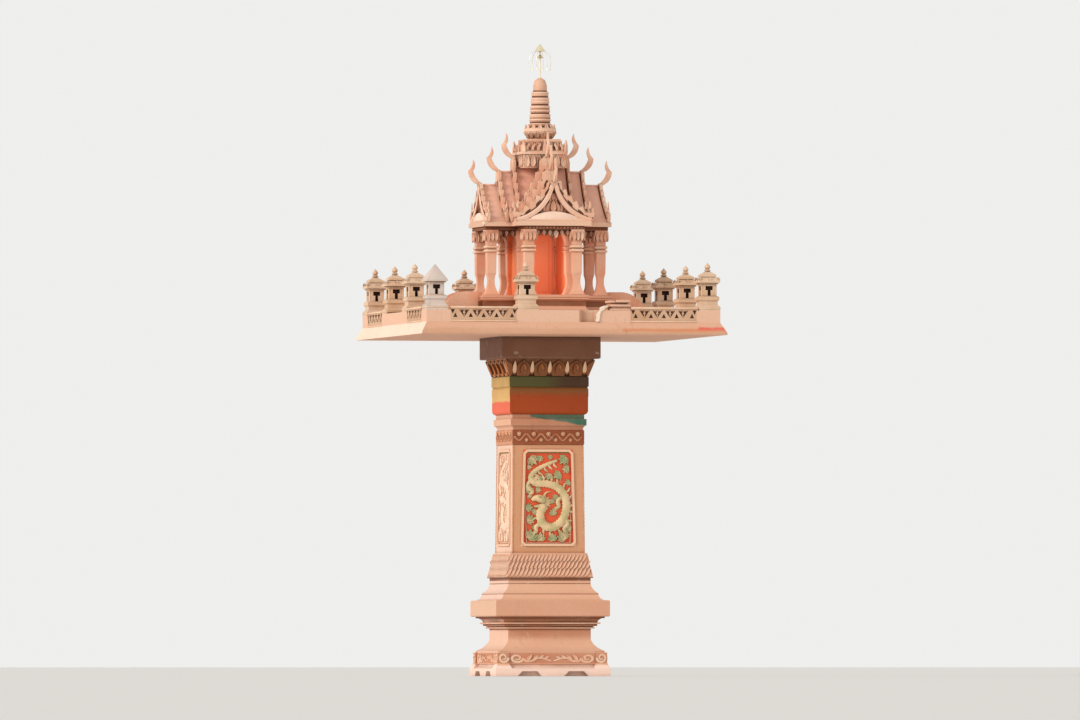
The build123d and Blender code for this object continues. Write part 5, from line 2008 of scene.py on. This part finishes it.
@dataclass
class Studio:
    """Floor, light and camera.

    Attributes:
        azimuth: where the camera stands, in degrees from the front, towards the left when negative.
        eye: height of the camera.
        aim: height it looks at.
        distance: how far it stands from the axis.
        lens: focal length in millimetres.
        sky: strength of the light from all round.
        lamp: strength of the soft lamp from the left.
        fill: strength of the softer one from the front.
        warm: colour of both lamps.
        porch: power of the small panel that lifts the sanctum's wall.
        pale: the floor's colour.
        shade: its darker patches.
    """

    azimuth: float = -13.0
    eye: float = 0.06
    aim: float = 1.305
    distance: float = 56.0
    lens: float = 452.0
    sky: float = 0.57
    lamp: float = 2.02
    fill: float = 0.44
    warm: Direction = (1.0, 0.96, 0.90)
    porch: float = 0.24
    pale: Colour = (0.82, 0.81, 0.79, 1.0)
    shade: Colour = (0.80, 0.79, 0.77, 1.0)

    def build(self) -> None:
        """Set up the whole studio."""
        self.floor()
        self.light()
        self.camera()
        bpy.context.scene.view_settings.view_transform = "Standard"

    @staticmethod
    def towards(lamp: Piece, direction: Sequence[float], up: str = "Y") -> None:
        """Turn a lamp or camera to look in a direction."""
        lamp.rotation_euler = Vector(direction).to_track_quat("-Z", up).to_euler()

    def floor(self) -> None:
        """A wide pale floor with a fine grain, level with the foot."""
        Bench.clear()
        bpy.ops.mesh.primitive_plane_add(size=160, location=(0, 0, -0.0005))
        floor = Bench.settle()
        floor.name = "studio_floor"
        made = bpy.data.materials.new("studio_floor")
        sheet = NodeSheet.fresh(made)
        place = sheet.node("ShaderNodeTexCoord").outputs["Object"]
        sheet.matt(sheet.mix(sheet.noise(place, 3.0), self.pale, self.shade), 0.9)
        floor.data.materials.append(made)

    def light(self) -> None:
        """An even pale sky, which the camera sees as a pale backdrop, two soft lamps and a small panel."""
        world = bpy.data.worlds.new("studio_sky")
        bpy.context.scene.world = world
        sheet = NodeSheet.fresh(world)
        rays = sheet.node("ShaderNodeLightPath").outputs
        seen = sheet.math("MAXIMUM", rays["Is Camera Ray"], rays["Is Glossy Ray"])
        seen = sheet.math("MAXIMUM", seen, rays["Is Transmission Ray"])
        lit = sheet.node("ShaderNodeBackground", {"Color": (1.0, 0.98, 0.96, 1.0), "Strength": self.sky})
        shown = sheet.node("ShaderNodeBackground", {"Color": (0.86, 0.86, 0.85, 1.0), "Strength": 1.0})
        sky = sheet.node("ShaderNodeMixShader", {"0": seen, "1": lit.outputs[0], "2": shown.outputs[0]})
        sheet.node("ShaderNodeOutputWorld", {"Surface": sky.outputs[0]})
        lamps = ((self.lamp, 24, (0.84, 0.36, -0.40)), (self.fill, 50, (-0.45, 0.86, -0.24)))
        for energy, spread, direction in lamps:
            Bench.clear()
            bpy.ops.object.light_add(type="SUN", location=(-4, -2, 4))
            lamp = bpy.context.active_object
            lamp.data.energy = energy
            lamp.data.angle = math.radians(spread)
            lamp.data.color = self.warm
            self.towards(lamp, direction)
        Bench.clear()
        bpy.ops.object.light_add(type="AREA", location=(0, -0.150, 1.70))
        panel = bpy.context.active_object
        panel.data.shape = "RECTANGLE"
        panel.data.size, panel.data.size_y = 0.11, 0.22
        panel.data.energy = self.porch
        panel.visible_camera = False
        self.towards(panel, (0, 1, 0), "Z")

    def camera(self) -> None:
        """The camera at the photograph's viewing angle, with a long lens."""
        Bench.clear()
        angle = math.radians(self.azimuth)
        stand = Vector((math.sin(angle) * self.distance, -math.cos(angle) * self.distance, self.eye))
        bpy.ops.object.camera_add(location=stand)
        camera = bpy.context.active_object
        self.towards(camera, Vector((0, 0, self.aim)) - stand)
        camera.data.lens = self.lens
        camera.data.clip_end = 400.0
        bpy.context.scene.camera = camera


def main() -> None:
    """Build the house's sub-assemblies in order, from the foot up, then the studio."""
    logging.basicConfig(level=logging.INFO, format="%(name)s: %(message)s")
    ornament = Ornament()
    house = House()
    for kind in (Pedestal, Shaft, Capital, Tray, Shrine, Roof, Spire):
        kind(house, ornament).build()
        LOG.info("finished the %s", kind.__name__.lower())
    left = sorted(set(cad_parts) - set(house.dressed))
    if left:
        raise ValueError(f"these solids have no finish: {left}")
    Studio().build()
    Bench.clear()


if __name__ == "__main__":
    main()
